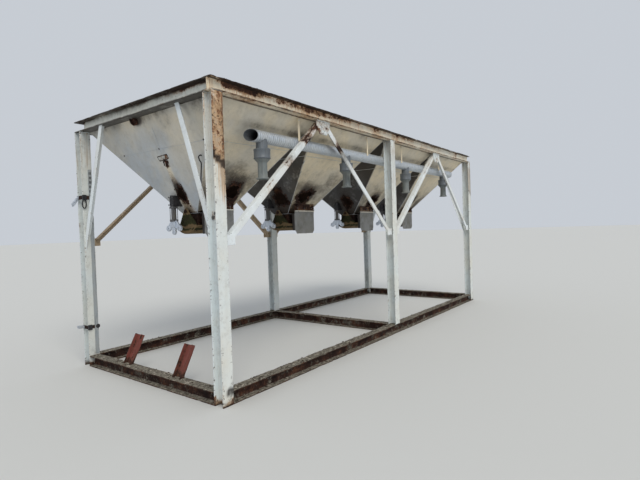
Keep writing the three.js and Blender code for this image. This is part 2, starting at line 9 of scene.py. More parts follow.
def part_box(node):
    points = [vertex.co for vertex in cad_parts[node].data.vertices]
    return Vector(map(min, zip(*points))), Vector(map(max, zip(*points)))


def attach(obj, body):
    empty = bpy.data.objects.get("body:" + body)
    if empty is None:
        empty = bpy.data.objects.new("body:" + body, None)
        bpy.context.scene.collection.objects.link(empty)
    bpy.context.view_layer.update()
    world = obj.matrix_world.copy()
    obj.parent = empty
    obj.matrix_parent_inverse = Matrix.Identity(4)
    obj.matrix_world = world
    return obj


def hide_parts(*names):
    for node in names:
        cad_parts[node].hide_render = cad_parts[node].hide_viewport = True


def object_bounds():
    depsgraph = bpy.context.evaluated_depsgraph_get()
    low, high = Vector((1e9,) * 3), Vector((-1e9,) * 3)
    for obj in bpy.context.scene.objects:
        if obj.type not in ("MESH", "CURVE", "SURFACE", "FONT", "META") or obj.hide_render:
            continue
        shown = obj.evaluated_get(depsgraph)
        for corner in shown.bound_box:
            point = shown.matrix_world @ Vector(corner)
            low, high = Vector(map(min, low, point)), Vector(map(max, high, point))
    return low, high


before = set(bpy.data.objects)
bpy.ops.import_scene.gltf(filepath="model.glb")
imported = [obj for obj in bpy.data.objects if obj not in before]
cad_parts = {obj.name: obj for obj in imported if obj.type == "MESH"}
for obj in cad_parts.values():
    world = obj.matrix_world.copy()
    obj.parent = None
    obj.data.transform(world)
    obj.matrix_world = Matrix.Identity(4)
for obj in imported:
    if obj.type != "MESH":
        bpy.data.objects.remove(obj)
cad_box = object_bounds()

# Rolled sections and plates
HALF = 0.060  # half the width of an H-section
FLANGE = 0.011
WEB = 0.007
ROOT = 0.012  # fillet between web and flange
TOE = 0.003  # rounding of a flange's edge
STEP = 0.035  # along a member, between two rings of points
ARC_STEPS = 3  # of a rounded corner
ANGLE_WALL = 0.006
ANGLE_ROOT = 0.006
PLATE = 0.005

# Camera, as the photograph was taken
EYE = (-5.6671, -4.1906, 1.5019)
YAW = 52.9387  # from +Y toward +X
PITCH = 1.4452  # downward
ROLL = 1.8865  # clockwise
LENS = 25.448


# Numbers

def srgb(red, green, blue):
    """A colour given as it looks on a screen, as the shader's own light values."""
    return tuple(((c / 255 + 0.055) / 1.055) ** 2.4 if c > 10 else c / 3294 for c in (red, green, blue))


def wobble(points, size, seed):
    """Smooth noise from -1 to 1 at each point, with bumps about this many metres across."""
    spot = np.asarray(points, float).reshape(-1, 3) / size + 100 + 7.3 * seed
    cell = np.floor(spot).astype(np.int64)
    part = spot - cell
    part = part * part * (3 - 2 * part)
    total = np.zeros(len(spot))
    for corner in np.ndindex(2, 2, 2):
        at = cell + np.array(corner)
        mixed = (at[:, 0] * 73856093) ^ (at[:, 1] * 19349663) ^ (at[:, 2] * 83492791)
        mixed = (mixed ^ (mixed >> 13)) * 1274126177 & 0x7FFFFFFF
        mixed = (mixed ^ (mixed >> 16)) & 0xFFFF
        weight = np.prod(np.where(corner, part, 1 - part), axis=1)
        total += weight * (mixed / 32767.5 - 1)
    return total


def ramp(value, low, high):
    """0 below low, 1 above high, smooth between them."""
    t = np.clip((np.asarray(value, float) - low) / (high - low), 0, 1)
    return t * t * (3 - 2 * t)


# Shells: each is (points, faces, edge), where edge says how close a point is to an arris

def together(*shells):
    points, faces, edge = [], [], []
    start = 0
    for some_points, some_faces, some_edge in shells:
        points.append(some_points)
        edge.append(some_edge)
        faces += [[start + i for i in face] for face in some_faces]
        start += len(some_points)
    return np.concatenate(points), faces, np.concatenate(edge)


def rounded(corners, flat=0.03):
    """A closed outline (u, v, edge) through corners (u, v, radius, edge), with long flats divided."""
    corners = [(np.array(c[:2], float), c[2], c[3]) for c in corners]
    arcs = []
    for i, (here, radius, edge) in enumerate(corners):
        before, after = corners[i - 1][0], corners[(i + 1) % len(corners)][0]
        a = here + (before - here) / np.linalg.norm(before - here) * radius
        b = here + (after - here) / np.linalg.norm(after - here) * radius
        arc = []
        for k in range(ARC_STEPS + 1):
            t = k / ARC_STEPS
            spot = (1 - t) ** 2 * a + 2 * t * (1 - t) * here + t * t * b
            arc.append((*spot, edge))
        arcs.append(arc)
    outline = []
    for i, arc in enumerate(arcs):
        outline += arc
        a, b = np.array(arc[-1]), np.array(arcs[(i + 1) % len(arcs)][0])
        parts = int(np.linalg.norm(b[:2] - a[:2]) / flat)
        for k in range(1, parts + 1):
            spot = a + (b - a) * k / (parts + 1)
            outline.append((spot[0], spot[1], 0.0))
    return np.array(outline)


def h_outline():
    s, f, w = HALF, HALF - FLANGE, WEB / 2
    right = [(-s, -s, TOE, 1), (s, -s, TOE, 1), (s, -f, TOE, 1), (w, -f, ROOT, 0), (w, f, ROOT, 0),
             (s, f, TOE, 1)]
    return rounded(right + [(-u, -v, radius, edge) for u, v, radius, edge in right])


def box_outline(half_u, half_v, radius, edge=0.7, flat=0.03):
    return rounded([(-half_u, -half_v, radius, edge), (half_u, -half_v, radius, edge),
                    (half_u, half_v, radius, edge), (-half_u, half_v, radius, edge)], flat)


def bands(count, rings, closed=False):
    """Faces between rings of so many points each, and from the last ring to the first where closed."""
    faces = []
    for k in range(rings if closed else rings - 1):
        a, b = k * count, (k + 1) % rings * count
        faces += [[a + i, a + (i + 1) % count, b + (i + 1) % count, b + i] for i in range(count)]
    return faces


def lids(count, rings):
    """The first ring and the last one, each as one face."""
    return [list(range(count)), list(range((rings - 1) * count, rings * count))]


def sweep(outline, place, steps):
    """An outline drawn along a member: place(u, v, t) gives its points for t from 0 to 1."""
    count = len(outline)
    points = [place(outline[:, 0], outline[:, 1], k / steps) for k in range(steps + 1)]
    edge = [np.maximum(outline[:, 2], 0.8 if k in (0, steps) else 0) for k in range(steps + 1)]
    faces = bands(count, steps + 1) + lids(count, steps + 1)
    return np.concatenate(points), faces, np.concatenate(edge)


def inset(outline, by):
    """The same outline with each corner moved inward."""
    outline = np.asarray(outline, float)[:, :2]
    before, after = np.roll(outline, 1, 0), np.roll(outline, -1, 0)
    area = np.sum(outline[:, 0] * after[:, 1] - after[:, 0] * outline[:, 1])
    side = np.sign(area)

    def normal(a, b):
        along = (b - a) / np.maximum(np.linalg.norm(b - a, axis=1, keepdims=True), 1e-9)
        return side * np.stack([-along[:, 1], along[:, 0]], 1)

    n1, n2 = normal(before, outline), normal(outline, after)
    both = n1 + n2
    both /= np.maximum(np.sum(both * n1, axis=1, keepdims=True), 0.3)
    return outline + both * by


def slab(outline, depth, place, bevel=0.0015):
    """A plate of this outline with broken edges: place(u, v, w) with w from depth[0] to depth[1]."""
    outline = np.asarray(outline, float)[:, :2]
    small = inset(outline, bevel)
    rings = [(small, depth[0]), (outline, depth[0] + bevel), (outline, depth[1] - bevel), (small, depth[1])]
    points = [place(ring[:, 0], ring[:, 1], np.full(len(ring), w)) for ring, w in rings]
    n = len(outline)
    return np.concatenate(points), lids(n, 4) + bands(n, 4), np.full(4 * n, 0.6)


def block(low, high, bevel=0.002):
    """A box between two corners, with broken edges."""
    low, high = np.array(low, float), np.array(high, float)
    outline = [(low[0], low[1]), (high[0], low[1]), (high[0], high[1]), (low[0], high[1])]
    return slab(outline, (low[2], high[2]), lambda u, v, w: np.stack([u, v, w], 1), bevel)


def turns(sides):
    return 2 * math.pi * np.arange(sides) / sides


def lathe(profile, place, sides, closed=True):
    """A profile (radius, height) turned round an axis: place(a, b, h) with a and b across the axis."""
    turn = turns(sides)
    rows = len(profile)
    points = [place(r * np.cos(turn), r * np.sin(turn), np.full(sides, h)) for r, h in profile]
    faces = bands(sides, rows, closed) + ([] if closed else lids(sides, rows))
    return np.concatenate(points), faces, np.zeros(rows * sides)


def along_z(centre):
    return lambda a, b, h: np.stack([centre[0] + a, centre[1] + b, centre[2] + h], 1)


def along_y(centre):
    return lambda a, b, h: np.stack([centre[0] + a, centre[1] + h, centre[2] + b], 1)


def show(name, data):
    """Puts an object of this data in the scene."""
    obj = bpy.data.objects.new(name, data)
    bpy.context.scene.collection.objects.link(obj)
    return obj


def write(mesh, title, values, kind="FLOAT"):
    """Gives a mesh an attribute with a value for each point."""
    layer = mesh.attributes.new(title, kind, "POINT")
    layer.data.foreach_set("value" if kind == "FLOAT" else "vector", np.array(values, np.float32).ravel())


def piece(name, shell, material, replaces=(), body="frame", marks=None, sharp=32, closed=True):
    """Makes an object of a shell, with its wear and painted shade as attributes, and lets it ride on its
    body.

    A mark is one number, or a number for each point."""
    points, faces, edge = shell
    mesh = bpy.data.meshes.new(name)
    mesh.from_pydata(points.tolist(), [], faces)
    if closed:
        turned = bmesh.new()
        turned.from_mesh(mesh)
        bmesh.ops.recalc_face_normals(turned, faces=turned.faces)
        turned.to_mesh(mesh)
        turned.free()
    mesh.shade_smooth()
    mesh.set_sharp_from_angle(angle=math.radians(sharp))
    for title, value in {"edge": edge, **(marks or {})}.items():
        write(mesh, title, np.clip(value, 0, 1) + np.zeros(len(points)))
    obj = show(name, mesh)
    mesh.materials.append(material)
    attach(obj, body)
    for node in ([replaces] if isinstance(replaces, str) else replaces):
        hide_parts(node)
    return obj


def hollow(obj, wall, inner=None):
    """Gives a sheet its thickness, inward."""
    thick = obj.modifiers.new("wall", "SOLIDIFY")
    thick.thickness = wall
    thick.offset = -1
    thick.use_even_offset = True
    if inner:
        obj.data.materials.append(inner)
        thick.material_offset = 1


# Shader building blocks

class Net:
    """Adds nodes to a tree: a value given for an input is set, a socket is linked."""

    def __init__(self, tree):
        self.tree = tree

    def add(self, kind, inputs=None, **settings):
        node = self.tree.nodes.new(kind)
        for key, value in settings.items():
            setattr(node, key, value)
        for key, value in (inputs or {}).items():
            self.put(value, node.inputs[key])
        return node

    def put(self, value, socket):
        if isinstance(value, bpy.types.NodeSocket):
            self.tree.links.new(value, socket)
        elif socket.type == "RGBA" and len(value) == 3:
            socket.default_value = (*value, 1)
        else:
            socket.default_value = value

    def math(self, operation, a, b, clamp=False):
        return self.add("ShaderNodeMath", {0: a, 1: b}, operation=operation, use_clamp=clamp).outputs[0]

    def plus(self, a, b, clamp=False):
        return self.math("ADD", a, b, clamp)

    def minus(self, a, b):
        return self.math("SUBTRACT", a, b)

    def times(self, a, b):
        return self.math("MULTIPLY", a, b)

    def smooth(self, value, low, high):
        """0 below low, 1 above high."""
        return self.add("ShaderNodeMapRange", {"Value": value, "From Min": low, "From Max": high},
                        interpolation_type="SMOOTHSTEP").outputs["Result"]

    def mix(self, share, a, b):
        return self.add("ShaderNodeMix", {"Factor": share, 6: a, 7: b}, data_type="RGBA",
                        clamp_factor=True).outputs[2]

    def between(self, share, a, b):
        """A number from a to b."""
        return self.add("ShaderNodeMapRange", {"Value": share, "To Min": a, "To Max": b}).outputs["Result"]

    def noise(self, vector, scale, detail=4.0, rough=0.55):
        return self.add("ShaderNodeTexNoise", {"Vector": vector, "Scale": scale, "Detail": detail,
                                               "Roughness": rough}).outputs["Fac"]

    def mark(self, name):
        return self.add("ShaderNodeAttribute", attribute_name=name).outputs["Fac"]

    def stretched(self, vector, size):
        return self.add("ShaderNodeVectorMath", {0: vector, 1: size}, operation="MULTIPLY").outputs[0]


def group(name, inputs, outputs, build, kind="ShaderNodeTree"):
    """A node group: build(net, inputs) returns what goes to each output."""
    tree = bpy.data.node_groups.new(name, kind)
    for title, socket_kind, value in inputs:
        socket = tree.interface.new_socket(title, in_out="INPUT", socket_type=socket_kind)
        if value is not None:
            socket.default_value = value
    for title, socket_kind in outputs:
        tree.interface.new_socket(title, in_out="OUTPUT", socket_type=socket_kind)
    net = Net(tree)
    entry = net.add("NodeGroupInput")
    end = net.add("NodeGroupOutput")
    for title, value in build(net, entry.outputs).items():
        tree.links.new(value, end.inputs[title])
    return tree


def build_breakup(net, given):
    coarse = net.noise(given["Vector"], given["Scale"], 8.0, 0.62)
    fine_scale = net.times(given["Scale"], 6.5)
    fine = net.noise(given["Vector"], fine_scale, 4.0, 0.6)
    both = net.plus(net.times(coarse, 1.55), net.times(fine, 0.65))
    level = net.minus(both, 0.6)
    edge = net.minus(1.04, net.times(given["Amount"], 1.08))
    low = net.minus(edge, given["Softness"])
    high = net.plus(edge, given["Softness"])
    return {"Mask": net.smooth(level, low, high)}


def build_streaks(net, given):
    size = net.add("ShaderNodeCombineXYZ", {
        "X": net.math("DIVIDE", 1.0, given["Width"]), "Y": net.math("DIVIDE", 1.0, given["Width"]),
        "Z": net.math("DIVIDE", 1.0, given["Length"])}).outputs[0]
    drawn = net.noise(net.stretched(given["Vector"], size), 1.0, 5.0, 0.6)
    edge = net.minus(0.86, net.times(given["Amount"], 0.62))
    return {"Mask": net.smooth(drawn, net.minus(edge, 0.1), net.plus(edge, 0.12))}


def build_rust(net, given):
    coarse = net.noise(given["Vector"], given["Scale"], 7.0, 0.66)
    fine_scale = net.times(given["Scale"], 8.0)
    fine = net.noise(given["Vector"], fine_scale, 5.0, 0.7)
    both = net.plus(net.times(coarse, 0.72), net.times(fine, 0.38))
    shade = net.plus(both, net.times(given["Lightness"], 0.16))
    tone = net.add("ShaderNodeValToRGB", {"Fac": shade})
    stops = [(0.36, srgb(34, 24, 22)), (0.50, srgb(62, 42, 35)), (0.60, srgb(94, 63, 47)),
             (0.70, srgb(132, 95, 70)), (0.84, srgb(176, 140, 106))]
    bar = tone.color_ramp
    while len(bar.elements) < len(stops):
        bar.elements.new(0.5)
    for element, (spot, colour) in zip(bar.elements, stops):
        element.position = spot
        element.color = (*colour, 1)
    return {"Color": tone.outputs["Color"], "Height": both}


FLOAT, COLOR, VECTOR = "NodeSocketFloat", "NodeSocketColor", "NodeSocketVector"
BREAKUP = group("paint_breakup", [("Vector", VECTOR, None), ("Amount", FLOAT, 0.3), ("Scale", FLOAT, 8.0),
                                  ("Softness", FLOAT, 0.05)], [("Mask", FLOAT)], build_breakup)
STREAKS = group("rain_streaks", [("Vector", VECTOR, None), ("Amount", FLOAT, 0.3), ("Width", FLOAT, 0.02),
                                 ("Length", FLOAT, 0.5)], [("Mask", FLOAT)], build_streaks)
RUST = group("rust_tones", [("Vector", VECTOR, None), ("Scale", FLOAT, 9.0), ("Lightness", FLOAT, 0.0)],
             [("Color", COLOR), ("Height", FLOAT)], build_rust)


def use(net, tree, output="Mask", **inputs):
    """A group's output for these inputs, or its node where no output is named."""
    node = net.add("ShaderNodeGroup", inputs, node_tree=tree)
    return node.outputs[output] if output else node


def new_material(name, rough=0.6, metal=0.0):
    material = bpy.data.materials.new(name)
    material.use_nodes = True
    net = Net(material.node_tree)
    shader = material.node_tree.nodes["Principled BSDF"]
    shader.inputs["Roughness"].default_value = rough
    shader.inputs["Metallic"].default_value = metal
    place = net.add("ShaderNodeTexCoord").outputs["Object"]
    return material, net, shader, place


def connect(net, shader, colour, rough, height, distance):
    """Feeds a finish's colour, roughness and height to its shader."""
    bump = net.add("ShaderNodeBump", {"Strength": 1.0, "Distance": distance, "Height": height})
    for title, value in (("Base Color", colour), ("Roughness", rough), ("Normal", bump.outputs["Normal"])):
        net.put(value, shader.inputs[title])


# Finishes

def painted(name, paint, aged, wear, chips, tint=(150, 112, 76), patch=7.0, light=0.0, film=0.22,
            grain=22.0, dirt=0.3):
    """Old oil paint on steel: yellowed, rain-streaked, chipped to rust where the wear marks say, darkened
    by soot and painted shade.
    """
    material, net, shader, place = new_material(name)
    shader.inputs["Specular IOR Level"].default_value = 0.25
    rust_mark, stain_mark, soot_and_shade_mark, tone_mark, edge_mark = (
        net.mark(m) for m in ("rust", "stain", "soot_and_shade", "tone", "edge"))
    amount = net.plus(rust_mark, net.times(edge_mark, 0.13))
    amount = net.plus(amount, wear)
    bare = use(net, BREAKUP, Vector=place, Amount=amount, Scale=patch, Softness=0.03)
    halo = use(net, BREAKUP, Vector=place, Amount=net.times(amount, 1.45), Scale=patch, Softness=0.16)
    worn_edges = net.plus(chips * 0.5, net.times(edge_mark, 0.14))
    specks = use(net, BREAKUP, Vector=place, Amount=net.plus(worn_edges, net.times(rust_mark, 0.42)),
                 Scale=46.0, Softness=0.03)
    blotches = use(net, BREAKUP, Vector=place, Amount=net.times(rust_mark, 1.25), Scale=grain,
                   Softness=0.10)
    runs = use(net, STREAKS, Vector=place, Amount=stain_mark, Width=0.012, Length=0.42)
    thin = use(net, STREAKS, Vector=place, Amount=net.times(stain_mark, 0.8), Width=0.004, Length=0.22)
    washed = use(net, STREAKS, Vector=place, Amount=0.62, Width=0.05, Length=0.9)
    cloud = net.smooth(net.noise(place, 2.3, 4.0), 0.36, 0.66)
    smear = net.smooth(net.noise(place, 15.0, 8.0, 0.72), 0.46, 0.74)
    rust = use(net, RUST, None, Vector=place, Scale=9.0, Lightness=light)
    age = net.plus(net.times(cloud, 0.35), tone_mark, True)
    colour = net.mix(age, srgb(*paint), srgb(*aged))
    colour = net.mix(net.times(washed, film), colour, srgb(*(c * 0.74 for c in aged)))
    colour = net.mix(net.times(smear, dirt), colour, srgb(*(c * 0.62 for c in aged)))
    colour = net.mix(net.times(runs, 0.6), colour, srgb(*tint))
    colour = net.mix(net.times(thin, 0.5), colour, srgb(*(c * 0.62 for c in tint)))
    colour = net.mix(net.times(halo, 0.55), colour, srgb(*tint))
    colour = net.mix(net.times(blotches, 0.75), colour, srgb(*(c * 0.78 for c in tint)))
    colour = net.mix(net.times(specks, 0.85), colour, srgb(58, 44, 38))
    colour = net.mix(bare, colour, rust.outputs["Color"])
    # Darkening by the soot mark: real soot and dirt, and painted shade in recesses, under beams and between
    # hoppers.
    grime_and_shade = use(net, BREAKUP, Vector=place, Amount=soot_and_shade_mark, Scale=5.0, Softness=0.32)
    grime_and_shade = net.plus(net.times(grime_and_shade, 0.5), net.times(soot_and_shade_mark, 0.6), True)
    colour = net.mix(net.times(grime_and_shade, 0.92), colour, srgb(40, 32, 28))
    worn = net.math("MAXIMUM", bare, net.times(specks, 0.8))
    rough = net.between(worn, 0.52, 0.9)
    skin_height = net.times(net.noise(place, 60.0, 3.0), 0.12)
    height = net.plus(net.minus(skin_height, net.times(worn, 0.55)),
                      net.times(net.times(bare, rust.outputs["Height"]), 1.3))
    connect(net, shader, colour, rough, height, 0.0022)
    return material


def muddy(name):
    """Rusted sills with dried mud on what faces up."""
    material, net, shader, place = new_material(name)
    shader.inputs["Specular IOR Level"].default_value = 0.15
    rust = use(net, RUST, None, Vector=place, Scale=7.0, Lightness=-0.45)
    paint = use(net, BREAKUP, Vector=place, Amount=0.25, Scale=6.0, Softness=0.05)
    normal = net.add("ShaderNodeNewGeometry").outputs["Normal"]
    facing = net.add("ShaderNodeSeparateXYZ", {0: normal}).outputs["Z"]
    upward = net.smooth(facing, 0.2, 0.9)
    silt_amount = net.plus(0.36, net.times(upward, 0.36))
    silt = use(net, BREAKUP, Vector=place, Amount=silt_amount, Scale=9.0, Softness=0.12)
    clods = net.smooth(net.noise(place, 34.0, 8.0, 0.75), 0.36, 0.66)
    silt_tone = net.mix(clods, srgb(66, 60, 52), srgb(146, 140, 127))
    crumbs = use(net, BREAKUP, Vector=place, Amount=net.times(upward, 0.36), Scale=30.0, Softness=0.05)
    colour = net.mix(net.times(paint, 0.35), rust.outputs["Color"], srgb(138, 130, 118))
    colour = net.mix(silt, colour, silt_tone)
    colour = net.mix(crumbs, colour, srgb(178, 170, 156))
    height = net.plus(rust.outputs["Height"], net.times(silt, 0.5))
    height = net.plus(height, net.times(crumbs, 0.4))
    connect(net, shader, colour, net.between(silt, 0.82, 0.96), height, 0.004)
    return material


def scaly(name, light, moss=0.0, black=0.38, dust=(150, 130, 98), marked=True):
    """Heavy flaking rust, with green growth where it stays damp and dust where the tone mark says.

    Without marks it is a hopper's inside, dusty and darkened to near black toward the outlet as painted
    shade."""
    material, net, shader, place = new_material(name)
    shader.inputs["Specular IOR Level"].default_value = 0.15 if marked else 0.0
    tone_mark, rust_mark = (net.mark("tone"), net.mark("rust")) if marked else (0.36, 0.2)
    rust = use(net, RUST, None, Vector=place, Scale=11.0, Lightness=light)
    bright = use(net, RUST, Vector=place, Scale=16.0, Lightness=0.9, output="Color")
    growth = use(net, BREAKUP, Vector=place, Amount=moss, Scale=13.0, Softness=0.22)
    green = net.mix(net.noise(place, 60.0, 4.0), srgb(30, 32, 20), srgb(66, 66, 40))
    char = use(net, BREAKUP, Vector=place, Amount=black, Scale=9.0, Softness=0.25)
    colour = net.mix(net.times(char, 0.85), rust.outputs["Color"], srgb(30, 24, 22))
    colour = net.mix(growth, colour, green)
    powder = net.mix(net.noise(place, 40.0, 5.0), srgb(*(c * 0.72 for c in dust)), srgb(*dust))
    film = use(net, BREAKUP, Vector=place, Amount=tone_mark, Scale=9.0, Softness=0.14)
    colour = net.mix(film, colour, powder)
    flaking = use(net, BREAKUP, Vector=place, Amount=rust_mark, Scale=14.0, Softness=0.06)
    colour = net.mix(flaking, colour, bright)
    if not marked:
        # Painted shade inside the hopper: near black toward the outlet.
        height = net.add("ShaderNodeSeparateXYZ", {0: place}).outputs["Z"]
        above_inner_shade = net.plus(0.05, net.times(net.smooth(height, 2.0, 2.42), 0.95))
        colour = net.mix(above_inner_shade, srgb(15, 12, 10), colour)
    height = net.plus(rust.outputs["Height"], net.times(growth, 0.6))
    connect(net, shader, colour, net.between(growth, 0.85, 0.97), height, 0.005)
    return material


def zinc(name):
    """Dull galvanised sheet with its spangle, and painted shade in its grooves and inside."""
    material, net, shader, place = new_material(name, metal=0.55)
    cells = net.add("ShaderNodeTexVoronoi", {"Vector": place, "Scale": 55.0}).outputs["Color"]
    tone = net.add("ShaderNodeSeparateColor", {0: cells}).outputs[0]
    dull = net.smooth(net.noise(place, 9.0, 6.0, 0.65), 0.35, 0.7)
    streak = use(net, STREAKS, Vector=place, Amount=0.4, Width=0.012, Length=0.05)
    colour = net.mix(tone, srgb(188, 198, 208), srgb(210, 217, 224))
    colour = net.mix(net.times(dull, 0.35), colour, srgb(214, 212, 206))
    colour = net.mix(net.times(streak, 0.5), colour, srgb(128, 120, 110))
    # Painted shade in the rib grooves and down the inside of the pipe.
    colour = net.mix(net.mark("depth_shade"), colour, srgb(16, 16, 18))
    connect(net, shader, colour, net.between(dull, 0.34, 0.62), net.noise(place, 30.0, 3.0), 0.0006)
    return material


def dusty(name, colour, dust, rough, metal, amount):
    """Plastic or cast metal under a film of dust."""
    material, net, shader, place = new_material(name, metal=metal)
    film = use(net, BREAKUP, Vector=place, Amount=amount, Scale=10.0, Softness=0.3)
    drip = use(net, STREAKS, Vector=place, Amount=0.45, Width=0.02, Length=0.2)
    tone = net.mix(net.times(film, 0.7), srgb(*colour), srgb(*dust))
    tone = net.mix(net.times(drip, 0.4), tone, srgb(*(c * 0.55 for c in colour)))
    connect(net, shader, tone, net.between(film, rough, 0.85), net.noise(place, 90.0, 3.0), 0.0005)
    return material


POST = painted("post_paint", (222, 232, 236), (224, 220, 206), wear=0.05, chips=0.36,
               tint=(166, 138, 106), light=0.4, film=0.12)
WORN_POST = painted("worn_post_paint", (222, 232, 236), (226, 217, 198), wear=0.03, chips=0.38,
                    tint=(208, 168, 124), patch=21.0, light=0.7, film=0.10, grain=36.0)
RING = painted("ring_paint", (236, 234, 224), (232, 217, 188), wear=0.04, chips=0.38,
               tint=(196, 142, 94), patch=15.0, light=0.25, film=0.08, grain=30.0)
CROSS_RING = painted("cross_ring_paint", (216, 218, 212), (206, 203, 188), wear=0.02, chips=0.34,
                     tint=(162, 122, 84), film=0.10)
BRACE = painted("brace_paint", (230, 237, 241), (220, 218, 208), wear=0.04, chips=0.28,
                light=-0.4, film=0.05, dirt=0.2)
BACK_BRACE = painted("back_brace_paint", (184, 164, 138), (150, 128, 100), wear=0.05, chips=0.35)
SILL = muddy("sill_rust")
HOPPER = painted("hopper_plate", (184, 191, 198), (236, 222, 194), wear=0.0, chips=0.10,
                 tint=(124, 100, 78), patch=8.0, light=-0.25, film=0.12, dirt=0.26)
INSIDE = scaly("hopper_inside", -0.1, black=0.34, dust=(116, 102, 84), marked=False)
SCALE = scaly("spout_rust", -0.5, black=0.45)
CHAR = scaly("hole_scale", -0.35, black=0.42)
MOSSY = scaly("gate_steel", -0.9, 0.62, 0.6, dust=(126, 106, 78))
ALLOY = dusty("cylinder_alloy", (206, 214, 226), (186, 188, 188), 0.36, 0.6, 0.35)
BLACK = dusty("cylinder_block", (26, 26, 30), (62, 58, 58), 0.5, 0.0, 0.35)
ZINC = zinc("duct_zinc")
APRON = painted("apron_grey", (142, 144, 146), (134, 132, 124), wear=0.02, chips=0.2, film=0.03, light=-0.4)
DARK = dusty("cylinder_barrel", (96, 96, 98), (122, 116, 108), 0.45, 0.3, 0.4)
PALE = dusty("drop_collar", (100, 107, 114), (108, 110, 110), 0.45, 0.1, 0.4)
STRIP = dusty("strip_grey", (150, 158, 164), (160, 162, 160), 0.5, 0.1, 0.5)
PLASTIC = dusty("drop_plastic", (110, 118, 119), (136, 135, 128), 0.4, 0.0, 0.45)
CLAMP = scaly("clamp_rust", -0.7)
RED = painted("red_oxide", (130, 70, 63), (114, 76, 66), wear=0.08, chips=0.3,
              tint=(100, 66, 54), light=-0.4)


# Frame members

FACE_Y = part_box("post_front_near")[0].y  # the open front
BACK_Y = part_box("post_back_near")[1].y
NEAR_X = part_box("post_front_near")[0].x
FAR_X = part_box("post_front_far")[1].x
RING_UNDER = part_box("ring_beam_near")[0].z
RING_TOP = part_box("ring_beam_near")[1].z
SECTION = RING_TOP - RING_UNDER
POST_MIDDLES = [sum(corner.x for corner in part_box(f"post_front_{place}")) / 2
                for place in ("near", "mid", "far")]
BAY_MIDDLES = [NEAR_X + (FAR_X - NEAR_X) / 4, NEAR_X + 3 * (FAR_X - NEAR_X) / 4]
NEAR_WEB = NEAR_X + HALF - WEB / 2  # the outer face of a near post's web
SILLS = ("sill_near", "sill_mid", "sill_far", "sill_front", "sill_back")


def member_place(low, high, axis):
    """Where an H-section's outline goes: posts stand with flanges front and back, beams lie flat."""
    centre = (low + high) / 2

    def place(u, v, t):
        if axis == "z":
            return np.stack([centre.x + u, centre.y + v, np.full(len(u), low.z + t * (high.z - low.z))], 1)
        if axis == "x":
            return np.stack([np.full(len(u), low.x + t * (high.x - low.x)), centre.y + u, centre.z + v], 1)
        return np.stack([centre.x + u, np.full(len(u), low.y + t * (high.y - low.y)), centre.z + v], 1)

    return place


def lying_axis(name):
    return "x" if name.endswith(("front", "back")) else "y"


def rolled(low, high, axis):
    """An H-section from one corner of its box to the other."""
    length = (high - low)["xyz".index(axis)]
    return sweep(h_outline(), member_place(low, high, axis), max(2, round(length / STEP)))


def battered(shell, low, high, axis, eaten, bent, seed):
    """Eats into a member's flange tips, and bends them, unevenly along its length."""
    points, faces, edge = shell
    across, through = {"x": (1, 2), "y": (0, 2), "z": (0, 1)}[axis]
    centre = (low + high) / 2
    u = points[:, across] - centre[across]
    v = points[:, through] - centre[through]
    tip = ramp(np.abs(u), 0.038, 0.060) * np.where(np.abs(v) > 0.045, 1, 0)
    bite = ramp(wobble(points, 0.055, seed), 0.15, 0.9) + 0.5 * ramp(wobble(points, 0.02, seed + 1), 0.3, 1)
    points = points.copy()
    points[:, across] -= np.sign(u) * tip * eaten * bite
    points[:, through] += tip * bent * (wobble(points, 0.33, seed + 2) * 0.8 - np.sign(v) * 0.5 * bite)
    inside = np.array(low), np.array(high)
    return np.clip(points, *inside), faces, edge


PAINT_LOST = 2.115  # height from which the near front post is bare


def post_marks(points, low, share):
    """Posts rust at the foot and at the head, and the near front one has lost its paint up there.

    The paint is lost over a slanting line on the outer flange, and the recess between the flanges gets
    painted shade and dirt."""
    x, y, z = points.T
    outer = share * ramp(low.y + 0.02 - y, 0, 0.01)
    recess = ramp(0.050 - np.abs(y - low.y - HALF), 0, 0.003)
    right = ramp(x - low.x, 0.0, 0.10)
    slant = z - PAINT_LOST + 0.6 * (x - low.x)
    worn = ramp(slant, -0.02, 0.03) * ramp(2.64 - z, 0, 0.10)
    foot = ramp(0.09 - z + 0.05 * wobble(points, 0.09, 1), 0, 0.10)
    rust = 0.50 * foot + 0.14 * ramp(z, 2.35, 2.70) + 0.07 * wobble(points, 0.35, 2)
    rust += outer * (0.25 * worn + 0.10 * ramp(slant, -0.45, 0.0) * right + 0.14 * ramp(z, 2.58, 2.64)
                     + 0.16 * worn * wobble(points * [1, 1, 0.4], 0.05, 3))
    soot_and_shade = outer * 0.95 * ramp(0.046 - np.abs(slant - 0.030), 0, 0.014) + 0.65 * ramp(0.06 - z, 0, 0.05)
    soot_and_shade += outer * 0.85 * ramp(0.062 - np.hypot(x - low.x - 0.085, z - 0.120), 0, 0.020)
    soot_and_shade += outer * worn * 0.35 * ramp(x - low.x, 0.100, 0.115)
    # Painted shade with some dirt in the recess between the flanges; the back posts a little darker.
    soot_and_shade += recess * (0.17 + 0.05 * wobble(points, 0.3, 6)) + 0.16 * ramp(low.y, 0.5, 0.9)
    stain = 0.16 + 0.24 * ramp(z, 1.4, 2.6) + 0.12 * recess
    stain += outer * (0.8 * worn + 0.75 * right * ramp(slant, -0.50, -0.02))
    # The outer flange's warmer aged tone is partly painted warm sunlight on the face toward the sun.
    tone = 0.30 * ramp(low.y + 0.02 - y, 0, 0.01) + 0.15 * recess + 0.2 * wobble(points, 0.6, 5)
    return {"rust": rust, "stain": stain, "soot_and_shade": soot_and_shade, "tone": tone}


